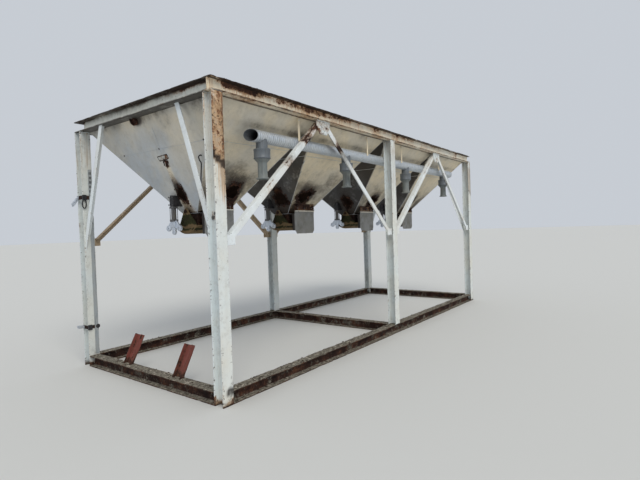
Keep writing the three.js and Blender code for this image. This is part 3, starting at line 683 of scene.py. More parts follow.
def make_posts():
    """The share says how much of the near front post's damage each one has."""
    shares = {"post_front_near": 1.0, "post_front_mid": 0.12, "post_front_far": 0.3,
              "post_back_near": 0.1, "post_back_mid": 0.15, "post_back_far": 0.1}
    for seed, (name, share) in enumerate(shares.items()):
        low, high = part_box(name)
        shell = battered(rolled(low, high, "z"), low, high, "z", 0.004, 0.0015, seed)
        piece(f"{name}_section", shell, WORN_POST if share == 1 else POST, name,
              marks=post_marks(shell[0], low, share))


def ring_marks(points, low, high, front):
    """The ring beam is worst along its upper flange, at the front most of all over the near bay.

    The other beams have a ragged band of rust, dirt and painted shadow on the web, under the upper flange."""
    x, y, z = points.T
    head = ramp(z, high.z - 0.030, high.z - 0.006)
    foot = ramp(low.z + 0.016 - z, 0, 0.008)
    underside = ramp(low.z + 0.004 - z, 0, 0.003)
    patch = wobble(points, 0.26, 4) + 0.5 * wobble(points, 0.09, 6)
    if front:
        far = ramp(x, -1.2, 1.2)
        start = ramp(x, -3.12, -2.98)
        inward = ramp(y, low.y + 0.060, low.y + 0.0635)
        ragged = z + 0.020 * wobble(points, 0.13, 8)
        upper = ramp(ragged, high.z - 0.074 + 0.026 * far, high.z - 0.032 + 0.010 * far)
        corner = ramp(0.30 - np.abs(x + 2.74), 0, 0.16)
        start = start * (1 - 0.62 * ramp(x, -1.25, -0.75) + 0.15 * ramp(patch, 0.1, 0.6))
        rust = 0.13 - 0.03 * far + 0.34 * upper * start + 0.14 * patch + 0.10 * foot
        rust += 0.22 * corner * ramp(z, low.z + 0.03, low.z + 0.08)
        soot_and_shade = 0.95 * ramp(z, high.z - 0.016, high.z - 0.010) + 0.46 * upper * start * ramp(patch, 0.1, 0.8)
        # Painted shade on the lower flange and the underside; behind the web, a painted gap shadow with
        # dark rust.
        soot_and_shade += 0.35 * upper * corner + 0.62 * foot * (1 - underside) + 0.16 * underside + 0.5 * inward
        stain = 0.52 + 0.20 * patch - 0.20 * far
        tone = 0.60 - 0.35 * far + 0.2 * patch
    else:
        centre = (low + high) / 2
        off_web = np.abs(x - centre.x) if high.x - low.x < 0.2 else np.abs(y - centre.y)
        tip = ramp(off_web, 0.052, 0.058)
        rust = 0.03 + 0.28 * head + 0.09 * patch + 0.10 * foot
        # Partly painted shadow under the upper flange, partly soot; the lower flange and the underside get
        # painted shade.
        soot_and_shade = head * (0.45 + 0.9 * tip + 0.3 * patch) + (0.2 + 0.3 * tip) * foot + 0.6 * underside
        band = ramp(z + 0.020 * wobble(points, 0.22, 7), high.z - 0.060, high.z - 0.018) * (1 - tip)
        worse = ramp(wobble(points, 0.30, 17), -0.1, 0.5)
        soot_and_shade += band * (0.46 + 0.25 * worse)
        rust += band * (0.12 + 0.26 * worse) + 0.16 * worse * ramp(z, high.z - 0.095, high.z - 0.05)
        stain = 0.26
        tone = 0.02 + 0.2 * patch
    return {"rust": rust, "soot_and_shade": soot_and_shade, "stain": stain, "tone": tone}


def make_ring():
    inner_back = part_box("ring_beam_back")[0].y
    for seed, name in enumerate(("ring_beam_front", "ring_beam_back", "ring_beam_near", "ring_beam_far",
                                 "cross_beam_mid")):
        low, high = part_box(name)
        low.z = RING_UNDER
        axis = lying_axis(name)
        if name == "ring_beam_back":
            low.y = high.y - 2 * HALF
        to_back = name in ("ring_beam_near", "ring_beam_far")
        reach = Vector((high.x, inner_back, high.z)) if to_back else high
        front = name == "ring_beam_front"
        shell = battered(rolled(low, reach, axis), low, reach, axis, 0.007 if front else 0.004,
                         0.006 if front else 0.002, seed + 10)
        if to_back:
            for z in (low.z, high.z - FLANGE):
                shell = together(shell, block((low.x, inner_back, z), (high.x, high.y, z + FLANGE)))
        piece(f"{name}_section", shell, RING if front else CROSS_RING, name,
              marks=ring_marks(shell[0], low, high, front))


def make_sills():
    for seed, name in enumerate(SILLS):
        low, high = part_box(name)
        axis = lying_axis(name)
        shell = battered(rolled(low, high, axis), low, high, axis, 0.006, 0.004, seed + 20)
        piece(f"{name}_section", shell, SILL, name)


# Braces of angle section, in the same places as the frame's own

ANGLE = 0.060
BRACE_TOP = (0.060, RING_UNDER - 0.040)  # from the bay's middle, and height
BRACE_FOOT = (0.126, 1.445)  # from the post's middle, and height
BRACE_IN = 0.034  # frame's face to the brace
LUG = (0.165, 0.090, 1.428)  # length, height and middle height
GUSSET = 0.008  # thickness of gussets and lugs
GUSSET_SHAPE = (0.125, 0.060, 0.150)  # half length, cut corner and height


def slanted_place(foot, top, y):
    """Along a bar in a plane of constant Y: u lies square to it in that plane, v goes along Y."""
    along = np.array([top[0] - foot[0], top[1] - foot[1]])
    length = np.linalg.norm(along)
    along = along / length

    def place(u, v, t):
        s = t * length
        x = foot[0] + along[0] * s + along[1] * u
        return np.stack([x, y + v, foot[1] + along[1] * s - along[0] * u], 1)

    return place, length


def angle_outline(face, edge):
    """An angle section: its broad leg on the side that face names, the other leg on one edge of it."""
    h, i = ANGLE / 2, ANGLE / 2 - ANGLE_WALL
    corners = [(h, h, TOE, 1), (-h, h, TOE, 1), (-h, i, TOE, 1), (i, i, ANGLE_ROOT, 0), (i, -h, TOE, 1),
               (h, -h, TOE, 1)]
    return rounded([(edge * u, face * v, radius, arris) for u, v, radius, arris in corners], flat=0.014)


def brace_marks(points, seed, front):
    """Front braces are rusted and blackened toward the top, in the near bay most of all."""
    high = ramp(points[:, 2], 1.85, 2.55)
    patch = wobble(points, 0.16, seed)
    if not front:
        return {"rust": 0.05 + 0.15 * patch, "stain": 0.3, "soot_and_shade": 0.05 + 0.2 * patch}
    high *= 1 - 0.75 * ramp(points[:, 0], -0.2, 0.2)
    return {"rust": 0.08 + 0.30 * high * ramp(patch, -0.4, 0.5) + 0.10 * patch,
            "soot_and_shade": 0.60 * high * ramp(wobble(points, 0.16, seed + 3), 0.0, 0.6),
            "stain": 0.2 + 0.25 * high, "tone": 0.2 + 0.3 * patch}


def make_braces():
    for bay_number, bay in enumerate(("near", "far")):
        peak = BAY_MIDDLES[bay_number]
        for number in (1, 2):
            post = POST_MIDDLES[bay_number + number - 1]
            toward = math.copysign(1, peak - post)
            foot = (post + toward * BRACE_FOOT[0], BRACE_FOOT[1])
            top = (peak - toward * BRACE_TOP[0], BRACE_TOP[1])
            lug_x = sorted((post + toward * WEB / 2, post + toward * (WEB / 2 + LUG[0])))
            lug_z = (LUG[2] - LUG[1] / 2, LUG[2] + LUG[1] / 2)
            for side in ("front", "back"):
                name = f"brace_{side}_{bay}_{number}"
                seed = 30 + 4 * bay_number + number + (2 if side == "back" else 0)
                y = FACE_Y + BRACE_IN + ANGLE / 2 if side == "front" else BACK_Y - BRACE_IN - ANGLE / 2
                place, length = slanted_place(foot, top, y)
                rings = round(length / STEP)
                outline = angle_outline(-1, -toward) if side == "front" else angle_outline(toward, -1)
                plate = y - ANGLE / 2 - GUSSET if side == "front" else y + ANGLE / 2
                lug = block((lug_x[0], plate, lug_z[0]), (lug_x[1], plate + GUSSET, lug_z[1]))
                shell = together(sweep(outline, place, rings), lug)
                front = side == "front"
                piece(f"{name}_bar", shell, BRACE if front else BACK_BRACE,
                      name,
                      marks=brace_marks(shell[0], seed, front))


def make_gussets():
    """Plates under the long beams that the braces' heads are welded to."""
    half, cut, height = GUSSET_SHAPE
    for side in ("front", "back"):
        y = FACE_Y + BRACE_IN - GUSSET - 0.0003 if side == "front" else BACK_Y - BRACE_IN + 0.0003
        shells = []
        for peak in BAY_MIDDLES:
            outline = [(peak - half, RING_UNDER - cut), (peak - half + cut, RING_UNDER - height),
                       (peak + half - cut, RING_UNDER - height), (peak + half, RING_UNDER - cut),
                       (peak + half, RING_UNDER), (peak - half, RING_UNDER)]
            shells.append(slab(outline, (y, y + GUSSET), lambda u, v, w: np.stack([u, w, v], 1)))
        shell = together(*shells)
        marks = {"rust": 0.28 - 0.16 * ramp(shell[0][:, 0], -0.2, 0.2), "stain": 0.3}
        piece(f"gussets_{side}", shell, POST, marks=marks)


KNEE_TOP = 0.440  # knee's axis to the post, at the beam
KNEE_DROP = 1.266  # beam's underside to where the axis meets the post
KNEE_IN = {"front": 0.057, "back": 0.016}  # frame's end to the knee's broad leg


def make_knees():
    """Braces of angle section in the end frames, from post to beam."""
    lean = math.atan2(KNEE_TOP, KNEE_DROP)
    cosine, sine = math.cos(lean), math.sin(lean)
    for end in ("near", "far"):
        for side, inner, way in (("front", FACE_Y + SECTION, 1), ("back", BACK_Y - SECTION, -1)):
            x = NEAR_X + KNEE_IN[side] + ANGLE / 2 if end == "near" else FAR_X - KNEE_IN[side] - ANGLE / 2

            def place(u, v, t, inner=inner, way=way, x=x):
                start = -u * cosine / sine
                stop = (KNEE_DROP + u * sine) / cosine
                s = start + t * (stop - start)
                y = u * cosine + s * sine
                z = RING_UNDER - KNEE_DROP - u * sine + s * cosine
                return np.stack([x + v, inner + way * y, z], 1)

            shell = sweep(angle_outline(-1 if end == "near" else 1, way), place, 36)
            patch = wobble(shell[0], 0.2, 60)
            marks = {"rust": 0.03 + 0.08 * patch, "stain": 0.2, "soot_and_shade": 0.06}
            piece(f"knee_brace_{end}_{side}_bar", shell, BRACE, f"knee_brace_{end}_{side}",
                  marks=marks)


def make_caps():
    """Thin flats over the double plates between two hoppers."""
    for bay in ("near", "far"):
        low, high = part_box(f"partition_cap_{bay}")
        outline = box_outline((high.x - low.x) / 2, (high.z - low.z) / 2, 0.002)
        shell = sweep(outline, member_place(low, high, "y"), 60)
        marks = {"rust": 0.5 + 0.3 * wobble(shell[0], 0.15, 70),
                 "soot_and_shade": 0.4 + 0.3 * wobble(shell[0], 0.2, 71)}
        piece(f"partition_cap_{bay}_flat", shell, RING, f"partition_cap_{bay}", marks=marks)


make_posts()
make_ring()
make_sills()
make_braces()
make_gussets()
make_knees()
make_caps()


# Hoppers

DUCT_END = 0.660  # frame's end to the duct's
COLUMNS = 60  # on each side of a hopper
ROWS = 54  # up its slope
RIM_ROWS = 4  # up its rim
PIVOT_Z = 1.740  # height of the gates' pins
DUCT = (0.0625, 2.430)  # radius and height
DUCT_SHADOW = 2.560  # height of the darker band over the duct
SEAM = 2.388  # height of the plates' level seam
# Rust holes, as across, height, half width and half height, one for each hopper
NEAR_HOLES = [(-0.015, 1.922, 0.062, 0.078), (-0.110, 1.930, 0.100, 0.104), (-0.075, 1.915, 0.080, 0.092),
              (-0.050, 1.905, 0.068, 0.084)]
FRONT_HOLES = [(0.095, 1.940, 0.112, 0.068), (-0.110, 1.942, 0.115, 0.070), (0.040, 1.938, 0.096, 0.064),
               (-0.060, 1.940, 0.090, 0.066)]
SMALL_HOLE = (-0.005, 2.240, 0.030, 0.030)  # in the first near plate
FAR_FROM_HOLES = 9.0  # any value well over 1
SIDES = {"front": (0, -1), "far": (1, 0), "back": (0, 1), "near": (-1, 0)}
SIDE_NUMBERS = {side: number for number, side in enumerate(SIDES)}


class Hopper:
    """One hopper's planes as the frame has them: its outlet, its slopes and its upright rim."""

    def __init__(self, number):
        low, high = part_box(f"hopper_{number}")
        spout_low, spout_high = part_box(f"spout_{number}")
        self.number = number
        self.middle = (low.x + high.x) / 2
        self.top = np.array([(high.x - low.x) / 2, (high.y - low.y) / 2])
        self.out = np.array([(spout_high.x - spout_low.x) / 2, (spout_high.y - spout_low.y) / 2])
        self.outlet = spout_high.z
        self.rim = high.z
        turn = number * 1.7
        self.holes = [("near", *NEAR_HOLES[number - 1], turn),
                      ("front", *FRONT_HOLES[number - 1], turn + 2)]
        if number == 1:
            self.holes.append(("near", *SMALL_HOLE, turn + 1))

    def half(self, z):
        """Half the hopper's length and width at a height."""
        t = np.clip((np.asarray(z, float) - self.outlet) / (RING_UNDER - self.outlet), 0, 1)
        return self.out[0] + (self.top[0] - self.out[0]) * t, self.out[1] + (self.top[1] - self.out[1]) * t

    def facing(self, side):
        """A side's outward direction on its slope."""
        dx, dy = SIDES[side]
        run = self.top - self.out
        slope = (run[0] if dx else run[1]) / (RING_UNDER - self.outlet)
        return Vector((dx, dy, -slope)).normalized()

    def flat_place(self, side, across, z):
        """On a side, from this spot: u goes across, v up the slope and w out of the plate."""
        outward = self.facing(side)
        sideways = Vector((0, 1, 0)) if side in ("near", "far") else Vector((1, 0, 0))
        up = outward.cross(sideways)
        up = up if up.z > 0 else -up
        base = on_plate(self, side, [across], [z])[0]
        return lambda u, v, w: base + np.outer(u, sideways) + np.outer(v, up) + np.outer(w, outward)


def torn(across, z, hole):
    """Below 0 inside a rust hole, 0 at its edge, and growing outward in half widths."""
    _, centre, height, half_width, half_height, phase = hole
    a, b = (across - centre) / half_width, (z - height) / half_height
    angle = np.arctan2(b, a)
    wander = 1 + 0.16 * np.sin(3 * angle + phase) + 0.10 * np.sin(7 * angle + 2 * phase)
    ragged = 0.07 * np.sin(17 * angle + 3 * phase) + 0.05 * np.sin(29 * angle + phase)
    return np.hypot(a, b) / (wander + ragged) - 1


def plate_seam(hopper, side):
    """Heights of a side's level seam, at its two ends."""
    tilt = 0.008 if side in ("near", "front") else -0.006
    middle = SEAM + 0.006 * math.sin(hopper.number * 2.1 + len(side))
    return middle - tilt, middle + tilt


def hopper_grid(hopper):
    """Points of the four plates, going round level by level, and the side that each lies on."""
    steps = (np.arange(ROWS + 1) / ROWS) ** 1.5
    levels = np.concatenate([hopper.outlet + steps * (RING_UNDER - hopper.outlet),
                             np.linspace(RING_UNDER, hopper.rim, RIM_ROWS + 1)[1:]])
    columns = 4 * COLUMNS
    number = np.arange(columns) // COLUMNS
    share = -1 + 2 * (np.arange(columns) % COLUMNS) / COLUMNS
    half_x, half_y = (half[:, None] for half in hopper.half(levels))
    z = np.repeat(levels[:, None], columns, 1)
    on_side = [number == side for side in range(4)]
    x = np.select(on_side, [share * half_x, half_x + 0 * share, -share * half_x, -half_x + 0 * share])
    y = np.select(on_side, [-half_y + 0 * share, share * half_y, half_y + 0 * share, -share * half_y])
    return x, y, z, np.repeat(number[None, :], len(levels), 0)


def compact(faces):
    """The points that faces use, and the faces with their points numbered among those."""
    used = sorted({i for face in faces for i in face})
    renamed = {old: new for new, old in enumerate(used)}
    return used, [[renamed[i] for i in face] for face in faces]


def cut_out(grid_points, field):
    """Faces between the rows of a closed band, cut along the line where field is 0."""
    rows, columns = field.shape
    points = list(grid_points.reshape(-1, 3))
    values = list(field.ravel())
    cuts, faces = {}, []

    def crossing(a, b):
        key = (min(a, b), max(a, b))
        if key not in cuts:
            share = values[a] / (values[a] - values[b])
            cuts[key] = len(points)
            points.append(points[a] + (points[b] - points[a]) * share)
            values.append(0.0)
        return cuts[key]

    for row in range(rows - 1):
        for column in range(columns):
            after = (column + 1) % columns
            ring = [row * columns + column, row * columns + after,
                    (row + 1) * columns + after, (row + 1) * columns + column]
            if min(values[i] for i in ring) > 0:
                faces.append(ring)
                continue
            face = []
            for i, a in enumerate(ring):
                b = ring[(i + 1) % 4]
                if values[a] > 0:
                    face.append(a)
                if (values[a] > 0) != (values[b] > 0):
                    face.append(crossing(a, b))
            if len(face) > 2:
                faces.append(face)
    used, faces = compact(faces)
    return np.array(points)[used], faces, np.array(values)[used]


def hopper_side(hopper, points):
    """Which side each point lies on (0 front, 1 far, 2 back, 3 near), and how far across it."""
    x, y = points[:, 0] - hopper.middle, points[:, 1]
    half_x, half_y = hopper.half(points[:, 2])
    by_length, by_width = np.abs(x) / half_x, np.abs(y) / half_y
    side = np.where(by_width >= by_length, np.where(y < 0, 0, 2), np.where(x > 0, 1, 3))
    across = np.where(side % 2 == 0, x, y)
    share = across / np.where(side % 2 == 0, half_x, half_y)
    return side, across, share


def hopper_shape(hopper, points, field, side, share):
    """Buckled plates, and torn edges that curl outward."""
    normals = np.array([hopper.facing(name) for name in SIDES])[side]
    upright = points[:, 2] > RING_UNDER + 0.001
    flat = normals.copy()
    flat[:, 2] = 0
    flat /= np.linalg.norm(flat, axis=1, keepdims=True)
    normals = np.where(upright[:, None], flat, normals)
    height = np.clip((points[:, 2] - hopper.outlet) / (RING_UNDER - hopper.outlet), 0, 1)
    free = (1 - share ** 2) * np.sin(np.pi * height) ** 0.5 * np.where(upright, 0, 1)
    seed = 80 + hopper.number
    buckle = 0.0065 * wobble(points, 0.42, seed) + 0.0022 * wobble(points, 0.16, seed + 1)
    curl = ramp(0.5 - field, 0, 0.5) * 0.010 * (wobble(points, 0.03, seed + 2) + 0.2)
    moved = points + normals * (free * buckle + curl)[:, None]
    top = points[:, 2] > hopper.rim - 0.001
    moved[:, 2] -= np.where(top, 0.004 * (0.5 + 0.5 * wobble(points, 0.12, seed + 3)), 0)
    return moved


def on_plate(hopper, side, across, z, lift=0.0):
    """Points on a buckled plate, for places across it and heights."""
    across, z = np.broadcast_arrays(np.asarray(across, float), np.asarray(z, float))
    half_x, half_y = hopper.half(z)
    dx, dy = SIDES[side]
    x, y = (dx * half_x, across) if dx else (across, dy * half_y)
    points = np.stack([hopper.middle + x, y, z], 1)
    number = np.full(len(points), SIDE_NUMBERS[side])
    field = np.full(len(points), FAR_FROM_HOLES)
    shape = hopper_shape(hopper, points, field, number, across / (half_y if dx else half_x))
    return shape + np.array(hopper.facing(side)) * lift


def hopper_marks(hopper, points, field, side, across, share):
    """Where a hopper's plates are rusted, stained, darkened (painted shade between hoppers and under the
    beams) and warm.
    """
    z = points[:, 2]
    height = (z - hopper.outlet) / (RING_UNDER - hopper.outlet)
    patch = wobble(points, 0.22, 90 + hopper.number)
    wide = wobble(points, 0.7, 190 + hopper.number)
    front, near = side == SIDE_NUMBERS["front"], side == SIDE_NUMBERS["near"]
    torn_edge = ramp(0.42 - field, 0, 0.42)
    lip = ramp(0.035 - (z - hopper.outlet), 0, 0.03)
    rim = ramp(z, hopper.rim - 0.05, hopper.rim)
    fold = ramp(np.abs(share), 0.965, 1.0)
    rust = 0.85 * torn_edge ** 1.3 + 0.40 * lip + 0.34 * rim + 0.06 * fold * (1 + patch)
    rust += np.where(front, 0.10, 0.04) * ramp(0.26 - height, 0, 0.22) * (1 + patch)
    rust += np.where(front, 0.50 * ramp(0.95 - field, 0, 0.8) * (0.8 + 0.7 * wobble(points, 0.05, 12)), 0)
    stain = 0.14 + 0.10 * patch + np.where(front, 0.10, 0.0) + 0.25 * ramp(0.3 - height, 0, 0.3)
    # Painted shade on the near faces of hoppers 2 to 4, between the hoppers, and on the slopes' tops under
    # the beams.
    shade_between_hoppers = 0.78 if hopper.number > 1 else 0.0
    soot_and_shade = 0.03 + np.where(near, shade_between_hoppers + 0.1 * patch, 0.06 * patch) + 0.18 * ramp(height, 0.93, 1.0)
    duct_end = NEAR_X + DUCT_END
    over_duct = ramp(0.045 - np.abs(z - DUCT_SHADOW), 0, 0.035)
    over_duct *= ramp(points[:, 0], duct_end - 0.20, duct_end)
    # Front faces: darker toward the bottom and in a band over the duct, with blotches.
    front_darkening = 0.52 * ramp(0.66 - height, 0, 0.4) + 0.34 * over_duct + 0.20 * ramp(patch, 0.2, 0.7)
    blotches = ramp(wobble(points, 0.30, 290), 0.0, 0.6)
    near_soot = 0.34 * blotches * ramp(height - 0.25 * share, 0.6, 1.0)
    if hopper.number == 1:
        near_soot += 0.95 * ramp(0.13 - np.hypot(across - 0.15, (z - RING_UNDER) * 1.3), 0, 0.09)
        near_soot += 0.30 * ramp(0.30 - np.hypot(across - 0.02, (z - RING_UNDER) * 2.2), 0, 0.22)
    # Far and back faces get a little painted shade.
    soot_and_shade += np.where(front, front_darkening, np.where(near, near_soot, 0.15))
    warm = 0.06 + 0.40 * ramp(height - 0.3 * share, 0.55, 1.1) + 0.12 * wide
    # The front faces' warmer, lighter tone is aged paint and partly painted warm sunlight on the side
    # toward the sun.
    tone = np.where(front, 0.72 + 0.2 * wide, warm)
    for name, centre, hole_z, half_width, half_height, _ in hopper.holes:
        on_side = side == SIDE_NUMBERS[name]
        up = (z - hole_z) / half_height
        reach = np.hypot((across - centre) / half_width, up)
        beside = ramp(1.8 - np.abs(across - centre) / half_width, 0, 1.1)
        above = ramp(up, -1, 0.2) * ramp(3.4 - up, 0, 2.6)
        around = ramp(1.7 - reach, 0, 0.7) * ramp(up, -0.7, 0.1)
        below = ramp(-up, -0.5, 1)
        stain += on_side * beside * (0.58 * above + 0.35 * below)
        fan = 0.22 if name == "front" else 0.66 if hopper.number == 1 else 0.45
        soot_and_shade += on_side * ((0.35 if name == "front" else 0.8) * around + fan * beside * above)
        rust += on_side * (0.28 if name == "front" else 0.05) * beside * below
        tone += on_side * 0.5 * beside * below
    return {"rust": rust, "stain": stain, "soot_and_shade": soot_and_shade, "tone": tone}


def make_hopper(number):
    hopper = Hopper(number)
    x, y, z, grid_side = hopper_grid(hopper)
    grid = np.stack([x + hopper.middle, y, z], 2)
    field = np.full(x.shape, FAR_FROM_HOLES)
    for hole in hopper.holes:
        away = torn(y if hole[0] == "near" else x, z, hole)
        field = np.where(grid_side == SIDE_NUMBERS[hole[0]], np.minimum(field, away), field)
    points, faces, values = cut_out(grid, field)
    side, across, share = hopper_side(hopper, points)
    marks = hopper_marks(hopper, points, values, side, across, share)
    shape = hopper_shape(hopper, points, values, side, share)
    HOLE_RIMS.append((shape, [face for face in faces if min(values[i] for i in face) < 0.55], values))
    obj = piece(f"hopper_{number}_plates", (shape, faces, np.zeros(len(shape))), HOPPER,
                f"hopper_{number}", marks=marks, sharp=25, closed=False)
    hollow(obj, PLATE, INSIDE)
    return hopper


HOLE_RIMS = []  # each hopper's points, its faces at holes, and field
HOPPERS = [make_hopper(number) for number in (1, 2, 3, 4)]


# Spouts, gates and aprons

LIP = 0.234  # radius of the spout's lower edge round the pivot
GATE_RADIUS = 0.250
GATE_SHELL = 0.008
GATE_FRONT = math.radians(-50)  # ends of the shell, as turns from straight down
GATE_BACK = math.radians(36)
ARM = (0.255, 0.263)  # inside and outside of an arm, from the hopper's middle
HUB = 0.036  # radius of an arm's upper end
BORE = 0.0156
PIN = 0.015  # radius
PIN_END = 0.275  # from the hopper's middle


def skin(rings, closed=False):
    """A sheet over rings of points, open at its two ends or closed from the last ring to the first."""
    count = len(rings[0])
    return np.concatenate(rings), bands(count, len(rings), closed), np.zeros(len(rings) * count)


def bar(path, outline, up=(1, 0, 0)):
    """An outline drawn along a line of points: u stands square to it toward up, v to its side."""
    path = np.asarray(path, float)
    ahead = np.gradient(path, axis=0)
    ahead /= np.linalg.norm(ahead, axis=1, keepdims=True)
    side = np.cross(ahead, np.array(up, float))
    side /= np.linalg.norm(side, axis=1, keepdims=True)
    top = np.cross(side, ahead)

    def place(u, v, t):
        k = round(t * (len(path) - 1))
        return path[k] + np.outer(u, top[k]) + np.outer(v, side[k])

    return sweep(np.asarray(outline), place, len(path) - 1)


def rod_outline(radius):
    turn = turns(8)
    return np.stack([radius * np.cos(turn), radius * np.sin(turn), np.zeros(8)], 1)


def eye(edge, bore, depth, place, bevel=0.0015, rows=1):
    """A plate round a bore: edge has turns, and how far the plate reaches at each."""
    turn, reach = edge
    inner = np.full(len(turn), bore)
    stops = np.linspace(0, 1, rows + 2)[1:-1]
    lower = [(inner, bevel), (inner + bevel, 0)] + [(inner + (reach - inner) * s, 0) for s in stops]
    lower += [(reach - bevel, 0), (reach, bevel)]
    rings = [(r, depth[0] + lift) for r, lift in lower] + [(r, depth[1] - lift) for r, lift in lower[::-1]]
    points = [place(r * np.sin(turn), -r * np.cos(turn), np.full(len(turn), w)) for r, w in rings]
    n, m = len(turn), len(rings)
    return np.concatenate(points), bands(n, m, True), np.full(n * m, 0.2)


def disc(radius):
    return turns(28), np.full(28, radius)


def arc_points(radius, first, last, count):
    """Points (y, z) round the pivot, by their turn from straight down."""
    return [(radius * math.sin(t), -radius * math.cos(t)) for t in np.linspace(first, last, count)]


def arm_reach():
    """A gate arm's edge seen from its pivot: a sector below, a small hub above."""
    corners = np.array(arc_points(GATE_RADIUS, GATE_FRONT, GATE_BACK, 28)
                       + arc_points(HUB, 1.9, 4.38, 13))
    turn, reach = [], []
    for i, here in enumerate(corners):
        after = corners[(i + 1) % len(corners)]
        parts = max(1, int(np.linalg.norm(after - here) / 0.012))
        for k in range(parts):
            spot = here + (after - here) * k / parts
            turn.append(math.atan2(spot[0], -spot[1]))
            reach.append(math.hypot(*spot))
    return np.array(turn), np.array(reach)


def across_x(centre):
    """u goes along Y, v up, w along X."""
    return lambda u, v, w: np.stack([centre[0] + w, centre[1] + u, centre[2] + v], 1)


def make_spout(hopper):
    """A sleeve under the outlet, its lower edge eaten away and bent."""
    half_x, half_y = hopper.out
    outline = box_outline(half_x, half_y, 0.006, 1, 0.008)
    u, v = outline[:, 0], outline[:, 1]
    lip = PIVOT_Z - np.sqrt(LIP ** 2 - v ** 2)
    spots = np.stack([u + hopper.middle, v, lip], 1)
    lip = lip + 0.012 * ramp(wobble(spots, 0.05, 100), 0.1, 0.9)
    lip += 0.004 * ramp(wobble(spots, 0.014, 101), 0, 1)
    levels = np.linspace(0, 1, 15)
    rings = []
    for t in levels:
        z = lip + t * (hopper.outlet - lip)
        spots = np.stack([u, v, z], 1)
        dent = 1 - 0.012 * ramp(wobble(spots + [hopper.middle, 0, 0], 0.11, 102), 0, 1) * (1 - t)
        rings.append(np.stack([hopper.middle + u * dent, v * dent, z], 1))
    shell = skin(rings)
    edge = np.maximum(np.tile(outline[:, 2], len(levels)) * 0.4,
                      np.repeat(ramp(0.2 - levels, 0, 0.2), len(outline)))
    obj = piece(f"spout_{hopper.number}_sleeve", (shell[0], shell[1], edge), SCALE,
                f"spout_{hopper.number}", closed=False)
    hollow(obj, GATE_SHELL)


def make_gate(hopper):
    """Two arms and a curved shell, dusty below but for a level line."""
    centre = (hopper.middle, 0.0, PIVOT_Z)
    place = across_x(centre)
    n = hopper.number
    shell = together(*(eye(arm_reach(), BORE, depth, place, rows=9) for depth in ((-ARM[1], -ARM[0]), ARM)))
    z = shell[0][:, 2]
    patch = wobble(shell[0], 0.06, 110 + n)
    low_band = ramp(1.600 - z + 0.012 * patch, 0, 0.02) - 0.9 * ramp(0.016 - np.abs(z - 1.545), 0, 0.008)
    marks = {"tone": 0.9 * low_band + 0.2 * patch + ramp(z, 1.69, 1.72), "rust": 0.16 + 0.1 * patch}
    piece(f"gate_{n}_arms", shell, MOSSY, f"gate_{n}", f"gate_body_{n}", marks)
    steps = 34
    outer = arc_points(GATE_RADIUS, GATE_FRONT, GATE_BACK, steps)
    inner = arc_points(GATE_RADIUS - GATE_SHELL, GATE_FRONT, GATE_BACK, steps)[::-1]
    outline = np.pad(np.array(outer + inner), ((0, 0), (0, 1)))
    outline[[0, steps - 1, steps, 2 * steps - 1], 2] = 1.0
    width = ARM[0] - 0.0002
    cover = sweep(outline, lambda u, v, t: place(u, v, np.full(len(u), -width + 2 * width * t)), 44)
    patch = wobble(cover[0], 0.09, 120 + n)
    z = cover[0][:, 2]
    marks = {"tone": 0.85 + 0.3 * patch - 0.9 * ramp(0.014 - np.abs(z - 1.543), 0, 0.006),
             "rust": 0.2 * patch}
    piece(f"gate_{n}_cover", cover, MOSSY, (), f"gate_body_{n}", marks)
    if n == 1:
        flats = []
        for radius, stop in ((0.180, 0.6), (0.240, 0.84)):
            u, v = np.transpose(arc_points(radius, -stop, GATE_BACK - 0.03, steps))
            flats.append(bar(place(u, v, np.full(steps, -ARM[1])), box_outline(0.002, 0.006, 0.001)))
        piece("gate_1_flats", together(*flats), MOSSY, (), "gate_body_1", {"tone": 1.0})


def make_pins(hopper):
    """A pin with its collar on each end plate of a hopper."""
    root = float(hopper.half(PIVOT_Z)[0]) - 0.003
    profile = [(0.001, root), (PIN, root), (PIN, PIN_END - 0.006), (0.021, PIN_END - 0.006),
               (0.023, PIN_END - 0.004), (0.023, PIN_END - 0.002), (0.021, PIN_END), (0.001, PIN_END)]
    centre = np.array([hopper.middle, 0, PIVOT_Z])
    shells = [lathe(profile, lambda a, b, h, side=side: centre + np.stack([side * h, a, b], 1), 20, False)
              for side in (-1, 1)]
    piece(f"hopper_{hopper.number}_pins", together(*shells), CLAMP)


APRON_HALF = 0.208  # half its width
APRON_FACE = 0.255  # hopper's middle to the plate's outer side
APRON_LOW = 1.440  # lower edge
APRON_FOLD = 0.205  # hopper's middle to the folded ends' rear edges
APRON_BEND = 1.715  # height from which the ends aren't folded
APRON_ROOT = 1.742  # height from which it is rusted
APRON_ROUND = 0.045  # its lower corners


